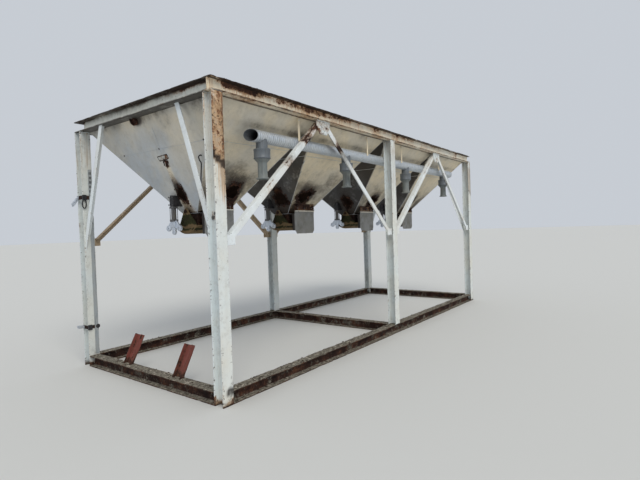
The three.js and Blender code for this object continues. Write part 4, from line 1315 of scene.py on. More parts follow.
def make_apron(hopper):
    """A plate hung in front of the spout, its ends folded back and its lower corners rounded."""
    n = hopper.number
    half, face, fold = APRON_HALF, -APRON_FACE, -APRON_FOLD
    walk = [(-half, fold), (-half, face), (half, face), (half, fold)]
    inside, rear = half - PLATE, face + PLATE
    walk += [(inside, fold), (inside, rear), (-inside, rear), (-inside, fold)]
    radii = (0.001, 0.008, 0.008, 0.001, 0.001, 0.004, 0.004, 0.001)
    outline = rounded([(u, v, r, 0.8) for (u, v), r in zip(walk, radii)], flat=0.009)
    corner = ramp(np.abs(outline[:, 0]), half - APRON_ROUND, half)
    uneven = wobble(np.pad(outline[:, :2], ((0, 0), (0, 1))) + n, 0.04, 5)
    low = APRON_LOW + APRON_ROUND * corner + 0.004 * (1 + uneven)

    def lower(u, v, t):
        return np.stack([hopper.middle + u, v, low + t * (APRON_BEND - low)], 1)

    top = float(hopper.outlet + (APRON_FACE - hopper.out[1]) * (RING_UNDER - hopper.outlet)
                / (hopper.top[1] - hopper.out[1])) - 0.001
    flat_sheet = ((-half, face), (half, face), (half, rear), (-half, rear))
    upper_outline = rounded([(u, v, 0.002, 0.8) for u, v in flat_sheet], flat=0.009)

    def upper(u, v, t):
        stop = top - (v - face) * 1.0155
        return np.stack([hopper.middle + u, v, APRON_BEND + t * (stop - APRON_BEND)], 1)

    shell = together(sweep(outline, lower, 26), sweep(upper_outline, upper, 14))
    points = shell[0]
    patch = wobble(points, 0.06, 130 + n)
    _, y, z = points.T
    # Painted shade on the folded ends and the inner side, behind the plate's face.
    shade_behind_plate = ramp(y, face + 0.006, face + 0.012)
    marks = {"rust": 0.52 * ramp(z + 0.02 * patch, APRON_ROOT, 1.79) + 0.10 * ramp(1.50 - z, 0, 0.06),
             "stain": 0.15 + 0.1 * patch + 0.75 * ramp(z, APRON_ROOT, 1.77),
             "soot_and_shade": 0.20 + 0.12 * patch + 0.7 * shade_behind_plate + 0.08 * ramp(z, APRON_ROOT, 1.79),
             "tone": 0.3 + 0.3 * patch}
    piece(f"apron_{n}_plate", shell, APRON, f"apron_{n}", marks=marks)
    flange = block((hopper.middle - half + 0.004, face - 0.014, 1.745),
                   (hopper.middle + half - 0.004, face + 0.001, 1.756))
    piece(f"apron_{n}_flange", flange, RING)


# Air cylinders, each hung from a black block on the near plate with its head loose

CYLINDER_Y = 0.115
BLOCK_Z = (1.800, 1.915)  # black block, on the hopper's plate
COVER_Z = (1.806, 1.905)  # its cover
CAPS_Z = ((1.776, 1.800), (1.631, 1.656))  # square caps of the cylinder
EYES_Z = (1.558, 1.516)  # eyes beside the head and under it


def make_cylinder(hopper):
    """Block, barrel between two caps with four tie rods, and a head with three eyes."""
    n = hopper.number
    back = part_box(f"air_cylinder_{n}")[0].x
    axis = back + 0.034
    upright = along_z((axis, CYLINDER_Y, 0.0))

    def face(z):
        return hopper.middle - float(hopper.half(z)[0]) - 0.0006

    def from_side(u, v, w):
        return np.stack([u, CYLINDER_Y + w, v], 1)

    def outline(x, low, high):
        return [(x, low), (face(low), low), (face(high), high), (x, high)]

    body = together(slab(outline(back, *BLOCK_Z), (-0.045, 0.014), from_side, 0.003),
                    slab(outline(back + 0.012, *COVER_Z), (0.017, 0.040), from_side, 0.003),
                    block((back, CYLINDER_Y - 0.012, BLOCK_Z[1]),
                          (back + 0.026, CYLINDER_Y + 0.012, BLOCK_Z[1] + 0.006)))
    piece(f"air_cylinder_{n}_block", body, BLACK, f"air_cylinder_{n}")
    caps = [block((axis - 0.032, CYLINDER_Y - 0.034, low), (axis + 0.032, CYLINDER_Y + 0.032, high))
            for low, high in CAPS_Z]
    rods = [lathe([(0.0004, 1.650), (0.0035, 1.650), (0.0035, 1.780), (0.0004, 1.780)],
                  along_z((axis + a * 0.027, CYLINDER_Y - 0.001 + b * 0.029, 0.0)), 8, False)
            for a in (-1, 1) for b in (-1, 1)]
    barrel = lathe([(0.001, 1.654), (0.0265, 1.654), (0.0272, 1.656), (0.0272, 1.775), (0.0265, 1.777),
                    (0.001, 1.777)], upright, 32, False)
    piece(f"air_cylinder_{n}_barrel", together(*caps, barrel, *rods), DARK)
    place = across_x((axis, CYLINDER_Y, 0.0))
    parts = [block((axis - 0.018, CYLINDER_Y - 0.044, 1.562),
                   (axis + 0.018, CYLINDER_Y + 0.044, 1.640), 0.008)]
    for way in (-1, 1):
        parts.append(eye(disc(0.033), 0.0065, (-0.014, 0.014),
                         across_x((axis, CYLINDER_Y + way * 0.098, EYES_Z[0])), 0.003))
        link = [(way * 0.024, 1.576), (way * 0.070, 1.536), (way * 0.094, 1.572), (way * 0.092, 1.600),
                (way * 0.040, 1.648)]
        parts.append(slab(link, (-0.011, 0.011), place, 0.003))
    parts.append(eye(disc(0.029), 0.0065, (-0.014, 0.014), across_x((axis, CYLINDER_Y, EYES_Z[1])), 0.003))
    tongue = [(-0.026, 1.520), (0.026, 1.520), (0.032, 1.572), (-0.032, 1.572)]
    parts.append(slab(tongue, (-0.012, 0.012), place, 0.003))
    piece(f"air_cylinder_{n}_head", together(*parts), ALLOY)


# Air duct with its hangers and drops

DUCT_Y = FACE_Y + SECTION + DUCT[0] + 0.0003
MOUTH_SLANT = 0.080  # how far the near end is cut aslant
RIB = 0.030  # from one rib of the duct to the next
HANGERS = [NEAR_X + x for x in (1.280, 2.700, 3.690, 5.110)]
DROP_OFFSET = -0.092  # hopper's middle to its drop


def make_duct():
    """A ribbed pipe with an inner wall, held by straps that hang from the front beam."""
    sides, per_rib, inner_rings = 36, 8, 121
    turn = turns(sides)
    mouth = NEAR_X + DUCT_END - MOUTH_SLANT / 2 * (1 + np.cos(turn))
    end = FAR_X - DUCT_END
    count = round((end - mouth.min()) / RIB * per_rib)

    def loop(t, inward, ribbed=True):
        x = mouth + t * (end - mouth)
        groove = 0.5 - 0.5 * np.cos(2 * math.pi * (x / RIB - turn / (2 * math.pi)))
        spots = np.stack([x, np.cos(turn) * 0.06, np.sin(turn) * 0.06], 1)
        dent = 0.0012 * ramp(wobble(spots, 0.09, 140), 0.2, 1)
        radius = DUCT[0] - inward - (0.0018 * groove ** 2 if ribbed else 0) - dent
        return np.stack([x, DUCT_Y + radius * np.cos(turn), DUCT[1] + radius * np.sin(turn)], 1)

    rings = [loop(k / count, 0) for k in range(count + 1)]
    along = np.concatenate(rings)[:, 0] / RIB - np.tile(turn, count + 1) / (2 * math.pi)
    back = [loop(1 - k / (inner_rings - 1), 0.0035, False) for k in range(inner_rings)]
    to_mouth = np.repeat(inner_rings - 1 - np.arange(inner_rings), sides)
    # Painted shade: dark in the rib grooves, near black inside the pipe, a little lighter at the mouth.
    depth_shade = np.concatenate([0.34 * np.sin(math.pi * along) ** 6, 0.72 + 0.28 * ramp(to_mouth, 1, 4)])
    piece("duct_pipe", skin(rings + back, True), ZINC, "duct", marks={"depth_shade": depth_shade}, sharp=80)
    strap = box_outline(0.015, 0.002, 0.001)
    straps, hangers = [], []
    seat = DUCT[0] + 0.002
    for x in HANGERS:
        over = [(x, DUCT_Y - seat * math.cos(a), DUCT[1] + seat * math.sin(a))
                for a in np.linspace(0, math.pi, 28)]
        down = [(x, DUCT_Y - seat, RING_UNDER - 0.002 - 0.0315 * k) for k in range(9)]
        straps.append(bar(over, strap))
        hangers.append(bar(down, strap))
    piece("duct_straps", together(*straps), ZINC)
    piece("duct_hangers", together(*hangers), HOPPER, marks={"tone": 1.0, "soot_and_shade": 0.1})


def make_drop(hopper):
    """A collar that fits the duct's underside, and the neck below it."""
    x = hopper.middle + DROP_OFFSET
    n = hopper.number

    def place(a, b, h):
        seat = DUCT[1] - np.sqrt(np.maximum((DUCT[0] + 0.0003) ** 2 - b ** 2, 0))
        return np.stack([x + a, DUCT_Y + b, np.minimum(h, np.where(np.abs(b) < DUCT[0], seat, h))], 1)

    collar = [(0.052, 2.216), (0.080, 2.2105), (0.084, 2.213), (0.0855, 2.220), (0.082, 2.226),
              (0.082, 2.291), (0.0855, 2.297), (0.085, 2.306), (0.081, 2.3095), (0.060, 2.311),
              (0.058, 2.317), (0.058, 2.42), (0.047, 2.42), (0.047, 2.285), (0.052, 2.281)]
    piece(f"duct_drop_{n}_collar", lathe(collar, place, 48), PALE, f"duct_drop_{n}",
          sharp=40)
    neck = [(0.045, 2.012), (0.047, 2.010), (0.062, 2.010), (0.065, 2.0125), (0.065, 2.0235),
            (0.063, 2.026), (0.053, 2.028), (0.050, 2.034), (0.0478, 2.100), (0.0478, 2.165),
            (0.050, 2.178), (0.064, 2.192), (0.073, 2.202), (0.074, 2.209), (0.071, 2.2135),
            (0.050, 2.2145), (0.045, 2.213)]
    piece(f"duct_drop_{n}_neck", lathe(neck, place, 48), PLASTIC, sharp=40)


# Clamps on the near back post and stubs on the near sill

# Name, lower edge, height, and how far the arm droops
CLAMPS = (("upper", 1.925, 0.044, 0.085), ("lower", 0.432, 0.038, -0.006))
CLAMP_GAP = 0.0033  # post's face to the middle of the band
PRONGS_Y = (1.165, 1.189)


def make_clamps():
    """Bands round the near back post, each with a jaw and a forked arm; the upper one holds a loop."""
    y0 = BACK_Y - SECTION - CLAMP_GAP
    for name, z, height, drop in CLAMPS:
        x0, x1 = NEAR_X - CLAMP_GAP, NEAR_X + SECTION + CLAMP_GAP
        turn = [(x0, BACK_Y - 0.002), (x0, y0 + 0.008), (x0 + 0.003, y0 + 0.003), (x0 + 0.008, y0),
                (x1 - 0.008, y0), (x1 - 0.003, y0 + 0.003), (x1, y0 + 0.008), (x1, BACK_Y - 0.002)]
        middle_z = z + height / 2
        line = [(*turn[0], middle_z)]
        for a, b in zip(turn, turn[1:]):
            steps = max(1, round(math.dist(a, b) / 0.012))
            line += [(*(np.array(a) + np.subtract(b, a) * k / steps), middle_z)
                     for k in range(1, steps + 1)]
        band = bar(line, box_outline(height / 2, 0.0028, 0.002), (0, 0, 1))
        piece(f"post_clamp_{name}_band", band, CLAMP, f"post_clamp_{name}")
        prongs = []
        for y in PRONGS_Y:
            outline = [(NEAR_X - 0.006, z + 0.004), (NEAR_X - 0.006, z + height - 0.002),
                       (NEAR_X - 0.050, z + height - 0.6 * drop - 0.002),
                       (NEAR_X - 0.0795, z + height - drop - 0.002), (NEAR_X - 0.072, z - drop + 0.002),
                       (NEAR_X - 0.046, z - 0.7 * drop + 0.004)]
            prongs.append(slab(outline, (y, y + 0.006), lambda u, v, w: np.stack([u, w, v], 1)))
        middle = (NEAR_X - 0.062, 0.0, middle_z - drop)
        bolt = [(0.001, 1.162), (0.007, 1.162), (0.007, 1.1646), (0.004, 1.1646), (0.004, 1.1954),
                (0.007, 1.1954), (0.007, 1.198), (0.001, 1.198)]
        prongs.append(lathe(bolt, along_y(middle), 12, False))
        piece(f"post_clamp_{name}_arm", together(*prongs), ALLOY)
        jaw = block((NEAR_X - 0.006, y0 - 0.016, z - 0.012),
                    (NEAR_X + 0.040, y0 + 0.002, z + height + 0.008), 0.005)
        stud = lathe([(0.001, -0.014), (0.020, -0.014), (0.024, -0.008), (0.024, 0.004), (0.001, 0.004)],
                     along_y((NEAR_X + SECTION - 0.012, y0, middle_z)), 16, False)
        shells = [jaw, stud]
        if name == "upper":
            loop = [(NEAR_X + 0.012 + 0.022 * math.sin(a), y0 - 0.010, z - 0.052 - 0.050 * math.cos(a))
                    for a in turns(24)]
            shells.append(bar(loop + loop[:1], rod_outline(0.007), (0, 1, 0)))
        piece(f"post_clamp_{name}_jaw", together(*shells), BLACK)


STUB_LEAN = math.radians(28)
STUBS_Y = {"front": FACE_Y + 0.730, "back": FACE_Y + 1.605}


def make_stubs():
    """Short channels that lean on the near sill."""
    cosine, sine = math.cos(STUB_LEAN), math.sin(STUB_LEAN)
    outer = [(0.0, -0.06), (0.046, -0.06), (0.046, 0.06), (0.0, 0.06), (0.0, 0.054), (0.040, 0.054),
             (0.040, -0.054), (0.0, -0.054)]
    radii = (0.0015, 0.004, 0.004, 0.0015, 0.0015, 0.004, 0.004, 0.0015)
    outline = rounded([(u - 0.023, v, radius, 0.9) for (u, v), radius in zip(outer, radii)], flat=0.014)
    for side, y in STUBS_Y.items():
        def place(u, v, t, y=y):
            foot = (SECTION + 0.0003 - 0.1200 + u * sine) / cosine
            s = foot + t * (0.325 - foot - 0.012 * ramp(wobble(np.stack([u, v, u], 1), 0.03, 150), 0, 1))
            x = NEAR_X + 0.072 + u * cosine + s * sine
            return np.stack([x, y + v, 0.1203 - u * sine + s * cosine], 1)

        shell = sweep(outline, place, 16)
        foot_rust = 0.35 * ramp(0.20 - shell[0][:, 2], 0, 0.07)
        marks = {"rust": 0.2 + foot_rust + 0.2 * wobble(shell[0], 0.05, 151),
                 "soot_and_shade": 0.3 * ramp(wobble(shell[0], 0.09, 152), 0, 1)}
        piece(f"stub_{side}_channel", shell, RED, f"stub_{side}", marks=marks)


for hopper in HOPPERS:
    make_spout(hopper)
    make_gate(hopper)
    make_pins(hopper)
    make_apron(hopper)
    make_cylinder(hopper)
    make_drop(hopper)
make_duct()
make_clamps()
make_stubs()


# Welds, bolts and rust scale, grown on lines, points and faces

def growing(name, inputs, build):
    """A geometry group that ends as real mesh in one material."""
    def whole(net, given):
        real = net.add("GeometryNodeRealizeInstances", {"Geometry": build(net, given)}).outputs[0]
        return {"Geometry": net.add("GeometryNodeSetMaterial", {
            "Geometry": real, "Material": given["Material"]}).outputs[0]}

    shape = "NodeSocketGeometry"
    return group(name, [("Geometry", shape, None), ("Material", "NodeSocketMaterial", None), *inputs],
                 [("Geometry", shape)], whole, "GeometryNodeTree")


def named(net, title, kind="FLOAT"):
    return net.add("GeometryNodeInputNamedAttribute", {"Name": title}, data_type=kind).outputs[0]


def any_vector(net, low, high, seed):
    """A random vector between two others."""
    return net.add("FunctionNodeRandomValue", {0: low, 1: high, "Seed": seed},
                   data_type="FLOAT_VECTOR").outputs[0]


def tilted(net, rotation, angles):
    angles = net.add("FunctionNodeEulerToRotation", {0: angles}).outputs[0]
    return net.add("FunctionNodeRotateRotation", {0: rotation, 1: angles},
                   rotation_space="LOCAL").outputs[0]


def build_bead(net, given):
    line = net.add("GeometryNodeMeshToCurve", {"Mesh": given["Geometry"]}).outputs[0]
    line = net.add("GeometryNodeResampleCurve", {"Curve": line, "Length": given["Pitch"]},
                   mode="LENGTH").outputs[0]
    swell = net.add("FunctionNodeRandomValue", {2: 0.7, 3: 1.25, "Seed": 3}).outputs[1]
    round_bar = net.add("GeometryNodeCurvePrimitiveCircle", {"Resolution": 6, "Radius": 1.0}).outputs[0]
    size = net.times(swell, given["Radius"])
    return net.add("GeometryNodeCurveToMesh", {"Curve": line, "Profile Curve": round_bar, "Scale": size,
                                               "Fill Caps": True}).outputs[0]


def build_bolts(net, given):
    spots = net.add("GeometryNodeMeshToPoints", {"Mesh": given["Geometry"]}).outputs[0]
    size = named(net, "size")
    turned = net.add("FunctionNodeAlignRotationToVector", {"Vector": named(net, "facing", "FLOAT_VECTOR")},
                     axis="Z").outputs[0]
    turned = tilted(net, turned, any_vector(net, (0, 0, 0), (0, 0, 6), 5))
    joined = net.add("GeometryNodeJoinGeometry")
    for sides, radius, depth, lift in ((16, 1.25, 0.22, 0.11), (6, 1.0, 0.66, 0.5), (8, 0.5, 0.5, 0.9)):
        part = net.add("GeometryNodeMeshCylinder", {"Vertices": sides, "Radius": radius,
                                                    "Depth": depth}).outputs[0]
        part = net.add("GeometryNodeTransform", {"Geometry": part, "Translation": (0, 0, lift)}).outputs[0]
        net.tree.links.new(part, joined.inputs[0])
    scale = net.add("ShaderNodeCombineXYZ", {0: size, 1: size, 2: size}).outputs[0]
    return net.add("GeometryNodeInstanceOnPoints", {"Points": spots, "Instance": joined.outputs[0],
                                                    "Rotation": turned, "Scale": scale}).outputs[0]


def build_scale(net, given):
    density = net.times(named(net, "flaky"), given["Density"])
    spread = net.add("GeometryNodeDistributePointsOnFaces", {"Mesh": given["Geometry"], "Density": density,
                                                             "Seed": given["Seed"]})
    turned = tilted(net, spread.outputs["Rotation"], any_vector(net, (-0.9, -0.9, 0), (0.9, 0.9, 6), 7))
    stretch = any_vector(net, (0.35, 0.5, 0.5), (1.2, 2.0, 1.3), 11)
    stretch = net.add("ShaderNodeVectorMath", {0: stretch, "Scale": given["Size"]},
                      operation="SCALE").outputs[0]
    chip = net.add("GeometryNodeMeshCone", {"Vertices": 6, "Radius Top": 0.4, "Radius Bottom": 1.0,
                                            "Depth": 0.4}).outputs[0]
    return net.add("GeometryNodeInstanceOnPoints", {"Points": spread.outputs["Points"], "Instance": chip,
                                                    "Rotation": turned, "Scale": stretch}).outputs[0]


BEAD = growing("weld_bead", [("Pitch", FLOAT, 0.007), ("Radius", FLOAT, 0.003)], build_bead)
BOLTS = growing("bolt_heads", [], build_bolts)
FLAKES = growing("rust_scale", [("Density", FLOAT, 3000.0), ("Size", FLOAT, 0.006),
                                ("Seed", "NodeSocketInt", 1)], build_scale)


def grown(name, mesh, tree, material, slot, **settings):
    """Runs a geometry group on a mesh, and keeps the result as a plain mesh inside the bin's box."""
    seed = show(f"{name}_seed", mesh)
    modifier = seed.modifiers.new("grow", "NODES")
    modifier.node_group = tree
    for item in tree.interface.items_tree:
        if item.item_type == "SOCKET" and item.in_out == "INPUT" and item.name in settings:
            modifier[item.identifier] = settings[item.name]
        elif item.item_type == "SOCKET" and item.name == "Material":
            modifier[item.identifier] = material
    graph = bpy.context.evaluated_depsgraph_get()
    result = bpy.data.meshes.new_from_object(seed.evaluated_get(graph), depsgraph=graph)
    bpy.data.objects.remove(seed)
    bpy.data.meshes.remove(mesh)
    spots = np.empty(3 * len(result.vertices))
    result.vertices.foreach_get("co", spots)
    low, high = np.array(cad_box[0]), np.array(cad_box[1])
    result.vertices.foreach_set("co", np.clip(spots.reshape(-1, 3), low, high).ravel())
    result.name = name
    result.shade_smooth()
    result.set_sharp_from_angle(angle=math.radians(40))
    obj = show(name, result)
    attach(obj, "frame")


def lines_mesh(lines):
    """A mesh of edges along lines of points."""
    points, edges = [], []
    for line in lines:
        start = len(points)
        points += [tuple(float(c) for c in point) for point in line]
        edges += [(start + k, start + k + 1) for k in range(len(line) - 1)]
    mesh = bpy.data.meshes.new("lines")
    mesh.from_pydata(points, edges, [])
    return mesh


def spots_mesh(spots):
    """A mesh of loose points, each with its facing and size."""
    mesh = bpy.data.meshes.new("spots")
    mesh.from_pydata([tuple(spot) for spot, _, _ in spots], [], [])
    write(mesh, "facing", [way for _, way, _ in spots], "FLOAT_VECTOR")
    write(mesh, "size", [radius for _, _, radius in spots])
    return mesh


def flaky_mesh(points, faces, flaky):
    """The faces of a shell that carry rust scale, with how much of it at each point."""
    kept = [face for face in faces if max(flaky[i] for i in face) > 0.02 and len(face) < 8]
    used, kept = compact(kept)
    mesh = bpy.data.meshes.new("flaky")
    mesh.from_pydata(points[used].tolist(), [], kept)
    write(mesh, "flaky", flaky[used])
    return mesh


BEAD_LIFT = 0.0005  # a bead's middle over its plate


def hopper_welds():
    """Beads up the corners, round the outlets and along the seams, and a slanting one on the near end."""
    lines = []
    for hopper in HOPPERS:
        for sx in (-1, 1):
            for sy in (-1, 1):
                foot = (hopper.middle + sx * hopper.out[0], sy * hopper.out[1], hopper.outlet)
                bend = (hopper.middle + sx * hopper.top[0], sy * hopper.top[1], RING_UNDER)
                lines.append([foot, bend, (bend[0], bend[1], hopper.rim - 0.006)])
        for side in SIDES:
            left, right = plate_seam(hopper, side)
            t = np.linspace(-0.995, 0.995, 40)
            z = left + (right - left) * (t + 1) / 2
            half_x, half_y = hopper.half(z)
            across = t * (half_y if side in ("near", "far") else half_x)
            lines.append(on_plate(hopper, side, across, z, BEAD_LIFT))
        around = [(hopper.middle + a * hopper.out[0], b * hopper.out[1], hopper.outlet - 0.001)
                  for a, b in ((-1, -1), (1, -1), (1, 1), (-1, 1), (-1, -1))]
        lines.append(around)
    t = np.linspace(0, 1, 30)
    lines.append(on_plate(HOPPERS[0], "near", -0.057 + 0.133 * t, 2.589 - 0.634 * t, BEAD_LIFT))
    grown("hopper_welds", lines_mesh(lines), BEAD, HOPPER, "hopper_plate", Pitch=0.008, Radius=0.0030)


def frame_welds():
    """Fillets where posts, beams, sills, gussets, lugs and knees meet."""
    white, brown = [], []
    half = SECTION / 2
    for x in POST_MIDDLES:
        for y in (FACE_Y + half, BACK_Y - half):
            for z, lines in ((RING_UNDER, white), (SECTION if x == POST_MIDDLES[1] else 0.004, brown)):
                dz = -0.002 if z == RING_UNDER else 0.002
                for way in (-1, 1):
                    for face in (half - 0.001, half - FLANGE - 0.001):
                        side = y + way * face
                        lines.append([(x - half + 0.004, side, z + dz), (x + half - 0.004, side, z + dz)])
                    lines.append([(x + way * (WEB / 2 + 0.001), y - half + FLANGE + 0.004, z + dz),
                                  (x + way * (WEB / 2 + 0.001), y + half - FLANGE - 0.004, z + dz)])
    for x in POST_MIDDLES:
        for way, y in ((1, FACE_Y + SECTION), (-1, BACK_Y - SECTION)):
            for z in (0.002, SECTION - 0.002):
                side = y + way * 0.001
                brown.append([(x - half + 0.004, side, z), (x + half - 0.004, side, z)])
    for peak in BAY_MIDDLES:
        for y in (FACE_Y + BRACE_IN - GUSSET - 0.002, BACK_Y - BRACE_IN + GUSSET + 0.002):
            white.append([(peak - 0.120, y, RING_UNDER - 0.003), (peak + 0.120, y, RING_UNDER - 0.003)])
    for number, post in enumerate(POST_MIDDLES):
        for toward in (-1, 1):
            if (number, toward) in ((0, -1), (2, 1)):
                continue
            for y in (FACE_Y + BRACE_IN - GUSSET, BACK_Y - BRACE_IN + GUSSET):
                x = post + toward * (WEB / 2 + 0.002)
                white.append([(x, y, LUG[2] - LUG[1] / 2), (x, y, LUG[2] + LUG[1] / 2)])
    for side, inner, way in (("front", FACE_Y + SECTION, 1), ("back", BACK_Y - SECTION, -1)):
        for x in (NEAR_X + KNEE_IN[side] + 0.002, FAR_X - KNEE_IN[side] - 0.002):
            white.append([(x, inner + way * 0.001, RING_UNDER - KNEE_DROP - 0.085),
                          (x, inner + way * 0.001, RING_UNDER - KNEE_DROP + 0.085)])
            white.append([(x, inner + way * (KNEE_TOP - 0.030), RING_UNDER - 0.002),
                          (x, inner + way * (KNEE_TOP + 0.030), RING_UNDER - 0.002)])
    grown("frame_welds", lines_mesh(white), BEAD, POST, "post_paint", Pitch=0.006, Radius=0.0038)
    grown("sill_welds", lines_mesh(brown), BEAD, SILL, "sill_rust", Pitch=0.007, Radius=0.0045)


def make_bolts():
    """Bolts of the cylinder blocks, the aprons and the clip, and rivets of the duct's straps."""
    spots, silver = [], []
    for hopper in HOPPERS:
        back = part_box(f"air_cylinder_{hopper.number}")[0].x
        for y in (-0.032, 0.032):
            for z in (1.816, 1.900):
                spots.append(((back, CYLINDER_Y + y, z), (-1, 0, 0), 0.007))
        for x in (-0.15, 0.0, 0.15):
            spots.append(((hopper.middle + x, -APRON_FACE, 1.788), (0, -1, 0), 0.009))
    for y, z in ((0.066, 1.660), (0.094, 1.628)):
        spots.append(((NEAR_WEB - 0.007, FACE_Y + y, z), (-1, 0, 0), 0.013))
    reach = DUCT[0] + 0.0035
    for x in HANGERS:
        for a in (0.35, math.pi / 2, math.pi - 0.35):
            silver.append(((x, DUCT_Y - reach * math.cos(a), DUCT[1] + reach * math.sin(a)),
                           (0, -math.cos(a), math.sin(a)), 0.004))
        silver.append(((x, DUCT_Y - DUCT[0] - 0.004, 2.672), (0, -1, 0), 0.005))
    grown("dark_bolts", spots_mesh(spots), BOLTS, DARK, "cylinder_alloy")
    grown("strap_rivets", spots_mesh(silver), BOLTS, ZINC, "duct_zinc")


def make_extras():
    """Small things at the near end: pad, tacks and pipe stub on its plate, rod, strip and clip."""
    first = HOPPERS[0]
    ground = slab([(-0.094, -0.028), (0.084, -0.036), (0.092, 0.022), (-0.088, 0.032)], (-0.001, 0.0014),
                  first.flat_place("near", 0.000, 2.305), 0.0006)
    pad = slab([(-0.084, -0.020), (0.074, -0.027), (0.081, 0.014), (-0.078, 0.023)], (-0.001, 0.003),
               first.flat_place("near", 0.000, 2.305), 0.0008)
    flake = [(-0.040, 0.020), (-0.030, -0.052), (-0.006, -0.034), (0.012, -0.062), (0.036, -0.030),
             (0.020, -0.010), (0.006, 0.006), (-0.016, 0.026)]
    scab = slab(flake, (-0.001, 0.0022), first.flat_place("near", -0.020, 2.252), 0.0008)
    piece("near_plate_pad", pad, POST, marks={"rust": 0.26, "soot_and_shade": 0.26})
    piece("near_plate_scab", together(scab, ground), CHAR)
    stub_place = first.flat_place("near", 0.160, 2.686)
    pipe = [(0.036, -0.004), (0.046, -0.004), (0.046, 0.030), (0.044, 0.034), (0.038, 0.034),
            (0.036, 0.030)]
    stub = lathe(pipe, stub_place, 28)
    plug = lathe([(0.001, -0.004), (0.037, -0.004), (0.037, 0.010), (0.001, 0.010)], stub_place, 28, False)
    piece("near_plate_stub", together(stub, plug), SCALE)
    tack = [(0.0005, -0.002), (0.010, -0.002), (0.009, 0.003), (0.0005, 0.005)]
    tacks = [lathe(tack, first.flat_place("near", across, z), 12, False)
             for across, z in ((0.659, 2.397), (-0.004, 2.389), (-0.725, 2.385))]
    piece("near_plate_tacks", together(*tacks), SCALE)
    # The black rod down the hip is partly painted shade: a dark bar along the hip's shaded edge.
    x, y = -2.800, -0.600
    hook = [(x + 0.03 * math.cos(a), y, 2.235 + 0.024 * math.sin(a)) for a in np.linspace(0.0, 3.6, 16)]
    hang = hook + [(x - 0.020, y, 2.205), (x - 0.003, y, 2.19)]
    hang += [(x, y + 0.11 * (2.17 - z), z) for z in np.linspace(2.17, 1.860, 14)]
    anchor = [(x + 0.03, y, 2.235), (x + 0.034, y, 2.22), (x + 0.06, y + 0.01, 2.21)]
    rods = together(bar(hang, rod_outline(0.0065), (0, 1, 0)), bar(anchor, rod_outline(0.0065), (0, 1, 0)))
    piece("near_plate_rod", rods, BLACK)
    strip_y = BACK_Y - SECTION
    strip = block((NEAR_X + 0.072, strip_y - 0.008, 0.135), (NEAR_X + 0.112, strip_y + 0.001, 2.270))
    piece("post_strip", strip, STRIP)
    # The slots are dark blocks on the strip's face, painted shade where the strip has openings.
    slots = [block((x, strip_y - 0.0092, z), (x + 0.008, strip_y - 0.004, z + 0.030), 0.001)
             for z in np.arange(1.640, 2.230, 0.052) for x in (NEAR_X + 0.080, NEAR_X + 0.094)]
    piece("post_strip_slot_shade", together(*slots), BLACK)
    clip = block((NEAR_WEB - 0.007, FACE_Y + 0.050, 1.606), (NEAR_WEB + 0.001, FACE_Y + 0.109, 1.682))
    piece("post_clip", clip, POST, marks={"rust": 0.25})


def shed_scale():
    """Rust scale round the holes, on the aprons' roots and along the front beam's upper edge."""
    points, faces, flaky = [], [], []
    rows, columns = 8, 24
    grid = [[r * columns + c, r * columns + c + 1, (r + 1) * columns + c + 1, (r + 1) * columns + c]
            for r in range(rows - 1) for c in range(columns - 1)]

    def gather(shell, amount):
        start = sum(len(p) for p in points)
        points.append(shell[0])
        faces.extend([start + i for i in face] for face in shell[1])
        flaky.append(amount)

    for hopper, (shape, some, field) in zip(HOPPERS, HOLE_RIMS):
        gather((shape, some), ramp(0.50 - field, 0, 0.5) ** 1.5 * ramp(wobble(shape, 0.05, 200), -0.9, 0.1))
        root = np.array([(hopper.middle + a, -APRON_FACE - 0.0005, z)
                         for z in np.linspace(1.752, 1.838, rows)
                         for a in np.linspace(-APRON_HALF, APRON_HALF, columns)])
        gather((root, grid), 0.6 * ramp(wobble(root, 0.06, 201), -0.5, 0.6))
    mesh = flaky_mesh(np.concatenate(points), faces, np.concatenate(flaky))
    grown("hole_scale", mesh, FLAKES, CHAR, "hopper_plate", Density=9000.0, Size=0.0105, Seed=2)
    low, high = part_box("ring_beam_front")
    low.z = RING_UNDER
    shell = rolled(low, high, "x")
    x, y, z = shell[0].T
    edge = ramp(z, high.z - 0.014, high.z - 0.004) * ramp(low.y + 0.03 - y, 0, 0.03)
    edge *= ramp(wobble(shell[0], 0.12, 202), -0.2, 0.7) * (1 - 0.6 * ramp(x, -1.0, 1.0))
    grown("beam_scale", flaky_mesh(shell[0], shell[1], edge), FLAKES, SCALE, "ring_paint", Density=7000.0,
          Size=0.005, Seed=3)


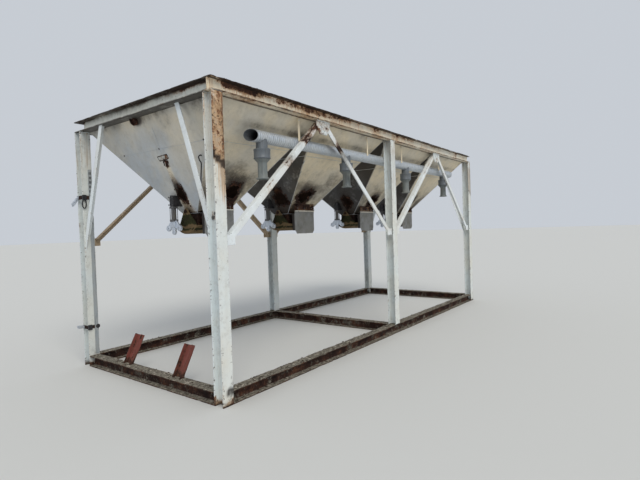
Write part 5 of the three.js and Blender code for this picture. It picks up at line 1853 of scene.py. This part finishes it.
def settled_mud():
    """Clods and chips lying on the sills."""
    for seed, name in enumerate(SILLS):
        low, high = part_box(name)
        shell = rolled(low, high, lying_axis(name))
        z = shell[0][:, 2]
        lying = ramp(z, high.z - 0.004, high.z)
        lying += 0.5 * ramp(low.z + 0.02 - z, 0, 0.01) * ramp(z, 0.010, 0.011)
        lying *= ramp(wobble(shell[0], 0.10, 210 + seed), -0.2, 0.8)
        mesh = flaky_mesh(shell[0], shell[1], lying)
        grown(f"{name}_mud", mesh, FLAKES, SILL, "sill_rust", Density=1500.0, Size=0.009, Seed=20 + seed)


settled_mud()
hopper_welds()
frame_welds()
make_bolts()
make_extras()
shed_scale()


# Scene

def look():
    turn = (Matrix.Rotation(math.radians(-YAW), 4, "Z") @ Matrix.Rotation(math.radians(90 - PITCH), 4, "X")
            @ Matrix.Rotation(math.radians(-ROLL), 4, "Z"))
    data = bpy.data.cameras.new("camera")
    data.lens = LENS
    data.sensor_width = 36
    camera = show("camera", data)
    camera.matrix_world = Matrix.Translation(EYE) @ turn
    bpy.context.scene.camera = camera


def light():
    world = bpy.data.worlds.new("studio")
    bpy.context.scene.world = world
    world.use_nodes = True
    back = world.node_tree.nodes["Background"]
    back.inputs["Color"].default_value = (*srgb(226, 232, 240), 1)
    back.inputs["Strength"].default_value = 0.75
    data = bpy.data.lights.new("key", "SUN")
    data.energy = 1.6
    data.angle = math.radians(35)
    data.color = srgb(255, 250, 240)
    sun = show("key", data)
    sun.rotation_euler = Vector((0.45, 0.75, -0.9)).to_track_quat("-Z", "Y").to_euler()


def floor():
    mesh = bpy.data.meshes.new("floor")
    far = 120.0
    mesh.from_pydata([(-far, -far, 0), (far, -far, 0), (far, far, 0), (-far, far, 0)], [], [(0, 1, 2, 3)])
    obj = show("floor", mesh)
    obj.location.z = -0.0005
    material, _, shader, _ = new_material("floor_paint", 0.85)
    shader.inputs["Base Color"].default_value = (*srgb(206, 206, 203), 1)
    mesh.materials.append(material)


look()
light()
floor()
bpy.context.scene.view_settings.view_transform = "Standard"
